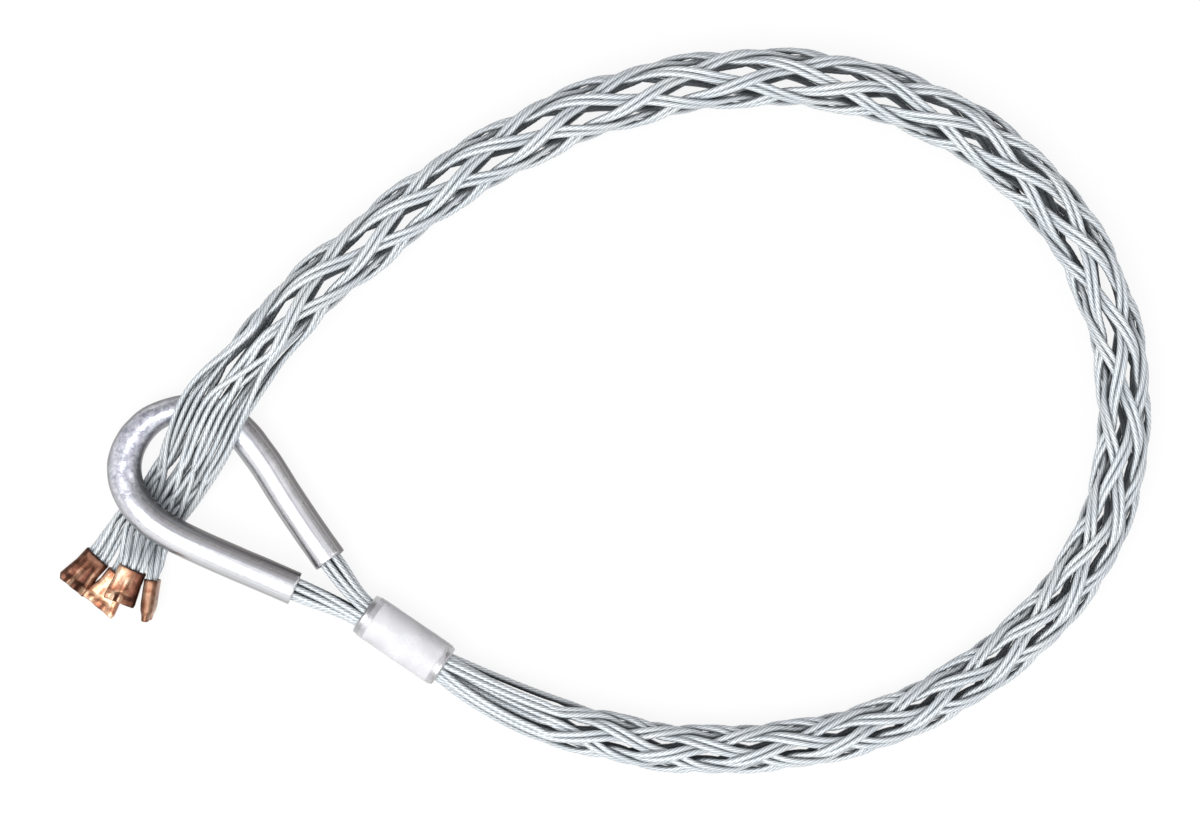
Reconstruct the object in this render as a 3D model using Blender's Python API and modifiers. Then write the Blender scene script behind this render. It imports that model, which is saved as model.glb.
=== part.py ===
"""Cable pulling grip: a rope-eye grip whose mesh sock is woven from pairs of fine wire rope.

Ten wire ropes run from the tail through the woven sock and a round ferrule, round the eye inside
a bent aluminium sleeve, and back through the ferrule and the sock to the tail, where four
flattened copper crimps hold five rope ends each. The grip lies flat in a loop, +Z up.
"""
import math

import bpy
import bmesh
import numpy as np
from mathutils import Matrix, Vector

mm = 0.001
deg = math.pi / 180

# Wire rope
rope_diameter = 1.5 * mm
rope_clearance = 0.1 * mm
rope_sides = 5
rope_count = 10
floor_gap = 0.05 * mm

# Weave
braid_angle = 15.5 * deg
weave_start = 39.5 * mm
crossing_levels = 39
close_mesh_levels = 24
crossing_depth_close = 1.66
crossing_depth_open = 1.76
shoulder_share = 1 / 3
first_ring_level = -0.5
last_ring_level = crossing_levels - 0.5
pair_slack = 1.12
fan_slack = 1.25
row_slack = 0.96
last_row_spread = 1.12
zigzag_share = 0.78
opening_shares = [0.33, 0.66, 1.0]
flattening_shares = [0.36, 0.7]
first_pair_angle = -18 * deg
sock_twist = 36 * deg

# Ferrule with its label and clear tape
ferrule_length = 25.4 * mm
ferrule_wall = 1.2 * mm
ferrule_bore_gap = 0.25 * mm
ferrule_rounding = 0.35 * mm
ferrule_sides = 24
wrap_gap = 0.08 * mm
label_thickness = 0.12 * mm
label_from_eye_end = 2.9 * mm
label_from_sock_end = 2.1 * mm
tape_thickness = 0.14 * mm
tape_from_eye_end = 1.4 * mm
tape_from_sock_end = 1.0 * mm

# Sleeve round the eye
sleeve_wall = 1.05 * mm
sleeve_bore_gap = 0.34 * mm
sleeve_sides = 14
sleeve_turn_per_ring = 17 * deg
longest_sleeve_run = 30 * mm
shortest_sleeve_run = 3 * mm
sleeve_search_step = 0.6 * mm
sleeve_lead = 2.0 * mm
sleeve_inner_ropes = 3
sleeve_ring_closeness = 0.96

# Copper crimps
crimp_length = 9.0 * mm
crimp_wall = 0.5 * mm
crimp_bore_gap = 0.12 * mm
crimp_grip_length = 6.2 * mm
crimp_tip_thickness = 2.1 * mm
crimp_tip_spread = 0.2 * mm
crimp_full_width_at = 0.86
crimp_tip_taper = 0.86
crimp_tip_thinning = 0.9
crimp_tip_rounding = 0.45
crimp_corner_points = 3
ends_per_crimp = 5

# Outer radius of the sock along its length, as a share of the closed ring of ropes
opening_stations = [(50 * mm, 1.09), (112 * mm, 1.10), (160 * mm, 1.14), (225 * mm, 1.20),
                    (275 * mm, 1.28), (330 * mm, 1.33), (415 * mm, 1.38), (460 * mm, 1.33),
                    (560 * mm, 1.31)]

# Length of rope lay between crossings along the sock
pitch_stations = [(0 * mm, 11.5 * mm), (130 * mm, 11.9 * mm), (250 * mm, 12.4 * mm),
                  (320 * mm, 13.3 * mm), (430 * mm, 13.9 * mm), (560 * mm, 13.9 * mm)]

# Where the sock turns about its own axis
twist_stations = [(225 * mm, 1.0), (335 * mm, 0.0)]

# Route of the sock on the bench, from the ferrule round the loop to the crimps (mm, plan view)
sock_route = [(-63.0, -53.7), (-52.5, -60.8), (-42.0, -68.0), (-28.1, -75.9), (-13.4, -82.2),
              (2.3, -86.4), (17.6, -89.4), (33.6, -89.9), (49.5, -88.7), (65.2, -85.8),
              (80.3, -80.6), (94.4, -73.2), (107.5, -64.0), (119.1, -52.9), (128.3, -40.4),
              (135.0, -25.5), (138.2, -9.8), (138.5, 6.1), (136.2, 21.8), (130.7, 37.0),
              (122.7, 50.7), (112.0, 62.6), (99.7, 72.7), (85.5, 80.1), (70.5, 85.2),
              (54.7, 88.1), (38.7, 88.4), (22.6, 86.7), (7.0, 83.0), (-8.0, 78.1), (-22.3, 71.1),
              (-36.3, 63.4), (-49.4, 54.5), (-61.8, 44.3), (-74.2, 34.1), (-85.3, 22.5),
              (-94.8, 11.2), (-101.7, 2.0), (-106.9, -8.4), (-113.2, -18.9), (-119.9, -28.1),
              (-124.8, -34.8)]

# Route of the eye's sleeve from the upper leg round the eye to the lower leg (mm, plan and height)
sleeve_route = [(-72.2, -39.7, 5.6), (-77.0, -33.0, 5.3), (-84.0, -22.7, 4.9), (-90.8, -12.2, 4.7),
                (-97.5, -4.3, 4.7), (-104.9, -0.1, 4.7), (-112.3, 0.4, 5.0), (-118.6, -1.6, 5.5),
                (-123.3, -5.7, 6.1), (-126.2, -11.4, 6.8), (-126.5, -17.9, 7.4),
                (-123.9, -23.9, 8.0), (-119.3, -28.9, 8.4), (-113.3, -32.8, 8.6),
                (-106.3, -36.2, 8.6), (-98.0, -39.9, 8.3), (-89.5, -43.6, 7.7), (-81.4, -47.2, 7.0)]

# The tail: flat rows of ropes over one arm of the eye and under the other
arm_half_span = 3.6 * mm
under_half_span = 5.0 * mm
seat_gap = 0.3 * mm
last_ring_lift = 4.4 * mm
climbing_levels = 3

crimp_lead = 2.5 * mm
rope_end_gap = 0.4 * mm

# Slots of the bundle's inner ring on one side; the other side mirrors them
inner_ring_slots = [0, 4, 8]

# Crimps on the tail: mouth on the bench (mm), heading of the tip, lift, nose-down pitch and roll
crimp_places = [((-136.0, -40.4), 226.7, 0.0, 0.0, 0.0),
                ((-129.6, -45.2), 232.5, 0.0, 0.0, 0.0),
                ((-125.0, -42.8), 246.5, 4.1, 2.5, 0.0),
                ((-120.0, -47.0), 261.5, 0.0, 0.0, 90.0)]

# Rope ends in each crimp from its outer side across: top row columns 0 to 9, bottom row 10 to 19
crimp_ends = [(10, 0, 11, 1, 12), (13, 2, 14, 15, 16), (3, 4, 5, 6, 7), (17, 8, 18, 9, 19)]

# Shift that puts the middle of the whole grip at the origin, and its lowest point on the bench
plan_shift = (-0.5202 * mm, 0.0483 * mm)
bench_shift = -0.0228 * mm

rope_ends = 2 * rope_count
pair_count = rope_count // 2
level_turn = math.pi / pair_count
rope_radius = rope_diameter / 2
rope_pitch = rope_diameter + rope_clearance

# Bundles of ropes in the ferrule and in the sleeve, and the bores that take them
outer_ring_count = rope_ends - 2 * len(inner_ring_slots)
bundle_ring_radius = rope_pitch / (2 * math.sin(math.pi / outer_ring_count))
ferrule_bore_radius = bundle_ring_radius + rope_radius + ferrule_bore_gap
ferrule_radius = ferrule_bore_radius + ferrule_wall
eye_inner_radius = rope_pitch / (2 * math.sin(math.pi / sleeve_inner_ropes))
eye_outer_radius = eye_inner_radius + sleeve_ring_closeness * rope_pitch
sleeve_radius = eye_outer_radius + rope_radius + sleeve_bore_gap + sleeve_wall

closed_ring_radius = rope_ends * rope_pitch / (2 * math.pi * math.cos(braid_angle))
row_pitch = row_slack * rope_pitch
row_height = rope_pitch
crimp_count = rope_ends // ends_per_crimp
zigzag_step = zigzag_share * rope_pitch
zigzag_rise = math.sqrt(rope_pitch ** 2 - zigzag_step ** 2)
crimp_corner = rope_radius + crimp_bore_gap + crimp_wall
crimp_mouth_width = (ends_per_crimp - 1) * zigzag_step + 2 * crimp_corner
crimp_mouth_thickness = zigzag_rise + 2 * crimp_corner


def clear_scene():
    for item in list(bpy.data.objects):
        bpy.data.objects.remove(item, do_unlink=True)


def new_collection(name):
    collection = bpy.data.collections.new(name)
    bpy.context.scene.collection.children.link(collection)
    return collection


def new_material(name, colour, metallic, roughness, alpha=1.0):
    material = bpy.data.materials.new(name)
    material.use_nodes = True
    shader = material.node_tree.nodes["Principled BSDF"]
    shader.inputs["Base Color"].default_value = (*colour, 1.0)
    shader.inputs["Metallic"].default_value = metallic
    shader.inputs["Roughness"].default_value = roughness
    shader.inputs["Alpha"].default_value = alpha
    return material


def interpolate(stations, position):
    """Value at a position along a list of (position, value) stations."""
    places = [place for place, value in stations]
    values = [value for place, value in stations]
    return float(np.interp(position, places, values))


class Route:
    """A smooth curve through hand-placed points, measured by its length."""

    def __init__(self, points, steps=24):
        points = [Vector(point) for point in points]
        padded = [2 * points[0] - points[1]] + points + [2 * points[-1] - points[-2]]
        samples = []
        for index in range(len(points) - 1):
            before, start, end, after = padded[index:index + 4]
            for step in range(steps):
                samples.append(self.spline(before, start, end, after, step / steps))
        samples.append(points[-1])
        self.samples = np.array([list(sample) for sample in samples])
        lengths = np.linalg.norm(np.diff(self.samples, axis=0), axis=1)
        self.distance = np.concatenate([[0.0], np.cumsum(lengths)])
        self.length = float(self.distance[-1])

    @staticmethod
    def spline(before, start, end, after, share):
        """Catmull-Rom curve between start and end."""
        bend = 2 * before - 5 * start + 4 * end - after
        swing = -before + 3 * start - 3 * end + after
        return 0.5 * (2 * start + (end - before) * share + bend * share ** 2 + swing * share ** 3)

    def point(self, distance):
        return Vector([float(np.interp(distance, self.distance, self.samples[:, axis]))
                       for axis in range(self.samples.shape[1])])

    def direction(self, distance, reach=1.5 * mm):
        ahead = self.point(min(distance + reach, self.length))
        behind = self.point(max(distance - reach, 0.0))
        return (ahead - behind).normalized()


def opening_radius(distance):
    """Radius of the outermost rope centres at a distance from the ferrule."""
    return closed_ring_radius * interpolate(opening_stations, distance)


def crossing_places():
    """Distances of the crossing levels from the ferrule, each a lay length after the last."""
    places = [weave_start]
    for level in range(1, crossing_levels + 1):
        places.append(places[-1] + interpolate(pitch_stations, places[-1]))
    return places


crossings = crossing_places()


def level_distance(level):
    """Distance from the ferrule at a level number, which may lie between two crossings."""
    numbers = [-1.0] + [float(number) for number in range(len(crossings))]
    places = [crossings[0] - interpolate(pitch_stations, 0.0)] + crossings
    return float(np.interp(level, numbers, places))


def placed(x, y, z=0.0):
    """Place on the bench of a point given in millimetres in the plan of the photo."""
    return x * mm + plan_shift[0], y * mm + plan_shift[1], z * mm + bench_shift


plan_route = Route([placed(x, y) for x, y in sock_route])
sleeve_path = Route([placed(x, y, z) for x, y, z in sleeve_route])

ring_start = level_distance(first_ring_level)
ring_end = level_distance(last_ring_level)


def arm_crossings():
    """Distances along the sock where it passes over and under the two arms of the eye."""
    tail = np.linspace(ring_end, plan_route.length - ferrule_length, 400)
    gaps = []
    for distance in tail:
        place = plan_route.point(distance + ferrule_length)
        away = np.linalg.norm(sleeve_path.samples[:, :2] - np.array([place.x, place.y]), axis=1)
        gaps.append((float(away.min()), distance))
    middle = (ring_end + plan_route.length - ferrule_length) / 2
    over = min(gap for gap in gaps if gap[1] < middle)[1]
    under = min(gap for gap in gaps if gap[1] >= middle)[1]
    return over, under


over_arm, under_arm = arm_crossings()


def sleeve_height(distance):
    place = plan_route.point(distance + ferrule_length)
    away = np.linalg.norm(sleeve_path.samples[:, :2] - np.array([place.x, place.y]), axis=1)
    return float(sleeve_path.samples[int(np.argmin(away)), 2]) - bench_shift


ferrule_height = ferrule_radius + 2 * wrap_gap + label_thickness + tape_thickness + floor_gap
over_height = sleeve_height(over_arm) + sleeve_radius + seat_gap + rope_radius + row_height / 2
bench_height = floor_gap + rope_radius + row_height / 2
climb_start = level_distance(crossing_levels - climbing_levels)


def centre_height(distance):
    """Height of the sock's centre line above the bench."""
    lying = opening_radius(distance) + rope_radius + floor_gap
    stations = [(0.0, ferrule_height), (ring_start, opening_radius(ring_start) + rope_radius),
                (crossings[1], opening_radius(crossings[1]) + rope_radius + floor_gap)]
    if distance <= crossings[1]:
        return interpolate(stations, distance)
    if distance <= climb_start:
        return lying
    stations = [(climb_start, opening_radius(climb_start) + rope_radius + floor_gap),
                (ring_end, opening_radius(ring_end) + rope_radius + last_ring_lift),
                (over_arm - arm_half_span, over_height), (over_arm + arm_half_span, over_height),
                (under_arm - under_half_span, bench_height),
                (under_arm + under_half_span, bench_height)]
    return interpolate(stations, distance)


def sock_point(distance, side, rise):
    """World place of a point beside and above the sock's centre line."""
    along = distance + ferrule_length
    heading = plan_route.direction(along)
    outward = Vector((heading.y, -heading.x, 0.0))
    place = plan_route.point(along)
    place.z = centre_height(distance) + bench_shift
    return place + outward * side + Vector((0.0, 0.0, rise))


def polar(angle, radius):
    """Side and rise of a point at an angle from the top, turning to the outside of the loop."""
    return radius * math.sin(angle), radius * math.cos(angle)


def settle(places, spacing, rounds=400, give=0.3, tolerance=0.001):
    """Push points of one cross-section apart until no two are nearer than the spacing."""
    places = np.array(places, dtype=float)
    for _ in range(rounds):
        gap = places[:, None, :] - places[None, :, :]
        away = np.linalg.norm(gap, axis=2)
        np.fill_diagonal(away, spacing)
        short = np.clip(spacing - away, 0.0, None)
        if short.max() < tolerance * spacing:
            break
        push = gap / away[:, :, None] * short[:, :, None]
        places = places + push.sum(axis=1) * give
    return places


def inner_slots():
    """Slots whose ropes lie in the inner ring of the bundle in the ferrule."""
    return inner_ring_slots + [rope_ends - 1 - slot for slot in inner_ring_slots]


def bundle_section():
    """Two rings of ropes packed side by side, as they lie in the ferrule."""
    inner = inner_slots()
    outer = [slot for slot in range(rope_ends) if slot not in inner]
    places = [None] * rope_ends
    for ring in (sorted(inner), outer):
        radius = rope_pitch / (2 * math.sin(math.pi / len(ring)))
        for order, slot in enumerate(ring):
            places[slot] = polar((order + 0.5) * 2 * math.pi / len(ring), radius)
    return np.array(places)


def woven_ring(level):
    """Section just beyond the weave: one direction of turn lies outside the other."""
    radius = opening_radius(level_distance(level))
    depth = crossing_depth_close * rope_diameter
    places = []
    for slot in range(rope_ends):
        turn, pair, side = slot_strand(slot)
        reach = radius if turn < 0 else radius - depth
        half_width = pair_half_width(level, turn, reach)
        angle = strand_angle(turn, pair, level) + side * half_width
        places.append(polar(angle, reach))
    return np.array(places)


def spread_section(share):
    """The bundle opening into the ring: the outer ropes part first, then the inner ones."""
    bundle = bundle_section()
    ring = woven_ring(first_ring_level)
    inner = inner_slots()
    places = []
    for slot in range(rope_ends):
        part = share * share if slot in inner else 1 - (1 - share) ** 2
        places.append(bundle[slot] * (1 - part) + ring[slot] * part)
    return settle(places, rope_pitch)


def slot_strand(slot):
    """Direction of turn, pair number and side within the pair of the rope in a ring slot."""
    pair = ((slot + 1) // 2) % rope_count
    side = 1 if slot % 2 == 0 else -1
    turn = 1 if pair % 2 == 0 else -1
    return turn, pair // 2, side


def sock_turn(distance):
    """How far the sock has still to turn about its own axis, eased between its stations."""
    share = interpolate(twist_stations, distance)
    return sock_twist * share * share * (3 - 2 * share)


def strand_angle(turn, pair, level):
    """Angle of the middle of a pair, from the top of the sock towards the outside of the loop."""
    start = first_pair_angle + pair * 2 * level_turn
    return start + turn * level_turn * level + sock_turn(level_distance(level))


def pair_half_width(level, turn, radius):
    """Half the angle between the two ropes of a pair where they lie at a radius."""
    before, after = level_distance(level - 0.5), level_distance(level + 0.5)
    around = radius * abs(turn * level_turn + sock_turn(after) - sock_turn(before))
    slant = math.atan2(around, after - before)
    return pair_slack * rope_pitch / (2 * radius * math.cos(slant))


def weave_points(slot):
    """Points of one rope through the woven sock, with a corner wherever it passes over or under."""
    turn, pair, side = slot_strand(slot)
    points = []
    for level in range(crossing_levels):
        over = (level % 2 == 1) == (turn > 0)
        tighter = level < close_mesh_levels - 1
        depth = crossing_depth_close if tighter else crossing_depth_open
        depth = 0.0 if over else depth * rope_diameter
        shifts = [0.0]
        if over and level < close_mesh_levels:
            shifts = [-shoulder_share, shoulder_share if tighter else 0.0]
        outer = opening_radius(level_distance(level))
        at_end = level in (0, crossing_levels - 1)
        pair_radius = outer - (depth if at_end else crossing_depth_close * rope_radius)
        for shift in shifts:
            radius = opening_radius(level_distance(level + shift)) - depth
            half_width = pair_half_width(level + shift, turn, pair_radius)
            number = level + shift - turn * side * half_width / (2 * level_turn)
            angle = strand_angle(turn, pair, number) + side * half_width
            points.append(sock_point(level_distance(number), *polar(angle, radius)))
    return points


def end_order():
    """Ring order of the slots at the far end of the weave, from the top round to the top."""
    ring = woven_ring(last_ring_level)
    angles = [(math.atan2(side, rise) % (2 * math.pi), slot) for slot, (side, rise) in enumerate(ring)]
    return [slot for angle, slot in sorted(angles)]


def flattened_section(share):
    """Ropes spaced evenly round the ring as it flattens, from the top round to the top."""
    ring_radius = opening_radius(ring_end) - crossing_depth_open * rope_diameter / 2
    spacing = 2 * math.pi * ring_radius / rope_ends * (1 - share)
    spacing += rope_pitch * pair_slack * share
    half_height = ring_radius * (1 - share) + row_height / 2 * share
    straight = max(rope_ends * spacing - 2 * math.pi * half_height, 0.0) / 2
    places = []
    for order in range(rope_ends):
        walk = (order + 0.5) * spacing
        flip = walk > rope_ends * spacing / 2
        walk = rope_ends * spacing - walk if flip else walk
        arc = math.pi * half_height
        if walk < straight / 2:
            side, rise = walk, half_height
        elif walk < straight / 2 + arc:
            angle = (walk - straight / 2) / half_height
            side, rise = straight / 2 + half_height * math.sin(angle), half_height * math.cos(angle)
        else:
            side, rise = rope_ends * spacing / 2 - walk, -half_height
        places.append((-side if flip else side, rise))
    return settle(places, rope_pitch)


def row_section(spread=1.0):
    """Two level rows of ropes, in the same order as the flattened ring."""
    places = []
    for order in range(rope_ends):
        top = order < rope_count / 2 or order >= rope_ends - rope_count / 2
        if top:
            column = order if order < rope_count / 2 else order - rope_ends
            side = (column + 0.5) * row_pitch * spread
        else:
            side = (rope_count - order - 0.5) * row_pitch * spread
        places.append((side, row_height * (spread - 0.5) if top else -row_height / 2))
    return np.array(places)


def crimp_axes(index):
    """Mouth, tip direction, width direction and thickness direction of one crimp."""
    (x, y), heading, lift, pitch, roll = crimp_places[index]
    turn = Matrix.Rotation(heading * deg, 3, "Z")
    turn = turn @ Matrix.Rotation(pitch * deg, 3, "Y")
    turn = turn @ Matrix.Rotation(-roll * deg, 3, "X")
    half = crimp_mouth_width / 2 + crimp_tip_spread if roll else crimp_mouth_thickness / 2
    mouth = Vector(placed(x, y, lift)) + Vector((0.0, 0.0, floor_gap + half))
    return mouth, turn @ Vector((1, 0, 0)), turn @ Vector((0, -1, 0)), turn @ Vector((0, 0, 1))


def crimp_seats():
    """Place of each rope end in its crimp, keyed by its order round the flattened ring."""
    half = rope_count // 2
    orders = [half - 1 - column for column in range(half)]
    orders += [rope_ends - 1 - column for column in range(half)]
    orders += [half + column for column in range(rope_count)]
    seats = {}
    for index, ends in enumerate(crimp_ends):
        starts_low = ends[0] >= rope_count
        for place, end in enumerate(ends):
            across = ((ends_per_crimp - 1) / 2 - place) * zigzag_step
            low = (place % 2 == 0) == starts_low
            seats[orders[end]] = (index, across, -zigzag_rise / 2 if low else zigzag_rise / 2)
    return seats


def seat_points(seat):
    """The last two points of a rope end: at the mouth of its crimp and inside it."""
    index, across, up = seat
    mouth, ahead, width, thick = crimp_axes(index)
    place = mouth + width * across + thick * up
    return [place - ahead * crimp_lead, place + ahead * (crimp_grip_length - rope_end_gap)]


def fan_points():
    """Halfway from the flat rows to the crimps, with the ropes pushed clear of one another."""
    seats = crimp_seats()
    start = under_arm + under_half_span
    rows = row_section(last_row_spread)
    heading = plan_route.direction(start + ferrule_length)
    outward = Vector((heading.y, -heading.x, 0.0))
    middles = []
    for order in range(rope_ends):
        middles.append((sock_point(start, *rows[order]) + seat_points(seats[order])[0]) / 2)
    flat = np.array([(middle.dot(outward), middle.z) for middle in middles])
    moved = settle(flat, fan_slack * rope_pitch)
    points = []
    for middle, before, after in zip(middles, flat, moved):
        height = max(float(after[1]), rope_radius + floor_gap)
        points.append(middle + outward * float(after[0] - before[0]) + Vector((0, 0, height - middle.z)))
    return points


def eye_section():
    """Three ropes inside seven, as they lie in the sleeve; side is away from the eye's middle."""
    inner = inner_slots()[:sleeve_inner_ropes]
    outer = [slot for slot in range(rope_count) if slot not in inner]
    places = [None] * rope_count
    for ring, radius in ((inner, eye_inner_radius), (outer, eye_outer_radius)):
        for order, slot in enumerate(ring):
            turn = (order - (len(ring) - 1) / 2) * 2 * math.pi / len(ring)
            places[slot] = (radius * math.cos(turn), -radius * math.sin(turn))
    return settle(places, rope_pitch)


def eye_stations():
    """Distances along the sleeve where it gets a ring, closer together in the bends."""
    stations = [0.0]
    turned = 0.0
    heading = sleeve_path.direction(0.0)
    for distance in np.arange(0.0, sleeve_path.length - shortest_sleeve_run, sleeve_search_step):
        now = sleeve_path.direction(distance)
        turned += heading.angle(now)
        heading = now
        if turned > sleeve_turn_per_ring or distance - stations[-1] > longest_sleeve_run:
            stations.append(float(distance))
            turned = 0.0
    return stations + [sleeve_path.length]


def eye_frames():
    """Place, heading, outward and up of each ring of the sleeve, square to the bend there."""
    places = [sleeve_path.point(distance) for distance in eye_stations()]
    runs = [(after - before).normalized() for before, after in zip(places, places[1:])]
    frames = []
    for place, before, after in zip(places, [runs[0]] + runs, runs + [runs[-1]]):
        heading = (before + after).normalized()
        outward = Vector((heading.y, -heading.x, 0.0)).normalized()
        frames.append((place, heading, outward, outward.cross(heading), before.angle(after)))
    return frames


def eye_points(number):
    """Points of one rope through the sleeve, with its ends carried a little past it."""
    side, rise = eye_section()[number]
    frames = eye_frames()
    points = []
    for index, (place, heading, outward, up, bend) in enumerate(frames):
        past = {0: -sleeve_lead, len(frames) - 1: sleeve_lead}.get(index, 0.0)
        points.append(place + heading * past + outward * side + up * rise)
    return points


def end_points(slot):
    """One half of a rope, from the eye end of the ferrule to its crimp."""
    bundle = bundle_section()
    points = []
    for distance in (-ferrule_length, 0.0):
        points.append(sock_point(distance, *bundle[slot]))
    for share in opening_shares:
        points.append(sock_point(ring_start * share, *spread_section(share)[slot]))
    points += weave_points(slot)
    points.append(sock_point(ring_end, *woven_ring(last_ring_level)[slot]))
    order = end_order().index(slot)
    gap = over_arm - arm_half_span - ring_end
    for share in flattening_shares:
        points.append(sock_point(ring_end + gap * share, *flattened_section(share)[order]))
    row = row_section()[order]
    for distance in (over_arm - arm_half_span, over_arm + arm_half_span,
                     under_arm - under_half_span):
        points.append(sock_point(distance, *row))
    points.append(sock_point(under_arm + under_half_span, *row_section(last_row_spread)[order]))
    points.append(fan_points()[order])
    points += seat_points(crimp_seats()[order])
    return points


def rope_points(number):
    """All points of one rope: in from a crimp, round the eye and out to a crimp."""
    upper_slot = rope_ends - 1 - number
    return list(reversed(end_points(upper_slot))) + eye_points(number) + end_points(number)


def rope_curve(name, points, profile, collection, material):
    """One rope as a curve with straight runs between its points and the given section."""
    data = bpy.data.curves.new(name, "CURVE")
    data.dimensions = "3D"
    data.twist_mode = "MINIMUM"
    data.use_fill_caps = True
    data.bevel_mode = "OBJECT"
    data.bevel_object = profile
    spline = data.splines.new("POLY")
    spline.points.add(len(points) - 1)
    for point, place in zip(spline.points, points):
        point.co = (*place, 1.0)
    spline.use_smooth = True
    data.materials.append(material)
    collection.objects.link(bpy.data.objects.new(name, data))


def rope_profile(collection):
    """Cross-section of a rope, used as the bevel of each rope's curve."""
    data = bpy.data.curves.new("rope_section", "CURVE")
    data.dimensions = "2D"
    spline = data.splines.new("POLY")
    spline.points.add(rope_sides - 1)
    for index, point in enumerate(spline.points):
        angle = -2 * math.pi * index / rope_sides
        point.co = (rope_radius * math.cos(angle), rope_radius * math.sin(angle), 0.0, 1.0)
    spline.use_cyclic_u = True
    item = bpy.data.objects.new("rope_section", data)
    item.hide_render = True
    item.display_type = "WIRE"
    collection.objects.link(item)
    return item


def make_ropes(collection, guides):
    profile = rope_profile(guides)
    for number in range(rope_count):
        name = f"rope_{number + 1:02d}"
        material = new_material(name, (0.55, 0.58, 0.60), 0.9, 0.42)
        rope_curve(name, rope_points(number), profile, collection, material)


def make_sleeve(collection):
    """Aluminium tube bent round the eye, open at both ends, given its wall by Solidify."""
    build = bmesh.new()
    rings = []
    for place, heading, outward, up, bend in eye_frames():
        mitre = 1.0 / math.cos(bend / 2)
        ring = []
        for corner in range(sleeve_sides):
            side, rise = polar(2 * math.pi * corner / sleeve_sides, sleeve_radius)
            ring.append(build.verts.new(place + outward * side * mitre + up * rise))
        rings.append(ring)
    for first, second in zip(rings, rings[1:]):
        for corner in range(sleeve_sides):
            after = (corner + 1) % sleeve_sides
            build.faces.new((first[corner], first[after], second[after], second[corner]))
    bmesh.ops.recalc_face_normals(build, faces=build.faces)
    mesh = bpy.data.meshes.new("eye_sleeve")
    build.to_mesh(mesh)
    build.free()
    mesh.materials.append(new_material("eye_sleeve", (0.80, 0.80, 0.84), 1.0, 0.24))
    mesh.shade_smooth()
    item = bpy.data.objects.new("eye_sleeve", mesh)
    collection.objects.link(item)
    solid = item.modifiers.new("wall", "SOLIDIFY")
    solid.thickness = sleeve_wall
    solid.offset = -1.0
    solid.use_even_offset = True


def axis_matrix():
    """Frame of the ferrule: its length along X from the eye end, +Z up."""
    start = sock_point(-ferrule_length, 0.0, 0.0)
    end = sock_point(0.0, 0.0, 0.0)
    heading = (end - start).normalized()
    side = Vector((0, 0, 1)).cross(heading).normalized()
    up = heading.cross(side)
    turn = Matrix((heading, side, up)).transposed().to_4x4()
    return Matrix.Translation(start) @ turn


def turned_ring(name, profile, collection, material):
    """A ring turned about the ferrule's axis from a closed (along, radius) outline."""
    mesh = bpy.data.meshes.new(name)
    build = bmesh.new()
    verts = [build.verts.new((0.0, radius, along)) for along, radius in profile]
    for index, vert in enumerate(verts):
        build.edges.new((vert, verts[(index + 1) % len(verts)]))
    build.to_mesh(mesh)
    build.free()
    mesh.materials.append(material)
    item = bpy.data.objects.new(name, mesh)
    collection.objects.link(item)
    screw = item.modifiers.new("turn", "SCREW")
    screw.axis = "Z"
    screw.steps = ferrule_sides
    screw.render_steps = ferrule_sides
    screw.use_merge_vertices = True
    screw.merge_threshold = 0.00001
    screw.use_normal_flip = True
    screw.use_smooth_shade = True
    item.matrix_world = axis_matrix() @ Matrix.Rotation(90 * deg, 4, "Y")


def wrap_outline(start, end, inner, thickness):
    return [(start, inner), (start, inner + thickness), (end, inner + thickness), (end, inner)]


def make_ferrule(collection):
    """Round pressed ferrule with rounded rims, and the label and clear tape wound on it."""
    outer = ferrule_radius
    bore = ferrule_bore_radius
    edge = ferrule_rounding
    outline = [(0.0, bore + edge), (0.0, outer - edge), (edge, outer),
               (ferrule_length - edge, outer), (ferrule_length, outer - edge),
               (ferrule_length, bore + edge), (ferrule_length - edge, bore), (edge, bore)]
    turned_ring("ferrule", outline, collection,
                new_material("ferrule", (0.78, 0.77, 0.76), 0.9, 0.35))
    inner = outer + wrap_gap
    label_end = ferrule_length - label_from_sock_end
    outline = wrap_outline(label_from_eye_end, label_end, inner, label_thickness)
    turned_ring("label", outline, collection, new_material("label", (0.90, 0.90, 0.91), 0.0, 0.45))
    inner = inner + label_thickness + wrap_gap
    tape_end = ferrule_length - tape_from_sock_end
    outline = wrap_outline(tape_from_eye_end, tape_end, inner, tape_thickness)
    turned_ring("label_tape", outline, collection,
                new_material("label_tape", (0.93, 0.93, 0.95), 0.0, 0.15, 0.35))


def rounded_box(width, thickness, corner):
    """Corner offsets of a rounded rectangle, round the crimp's axis."""
    places = []
    for quarter in range(4):
        shift = (width / 2 - corner) * (1 if quarter in (0, 3) else -1)
        lift = (thickness / 2 - corner) * (1 if quarter in (0, 1) else -1)
        for step in range(crimp_corner_points):
            angle = (quarter + step / (crimp_corner_points - 1)) * math.pi / 2
            places.append((shift + math.cos(angle) * corner, lift + math.sin(angle) * corner))
    return places


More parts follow.
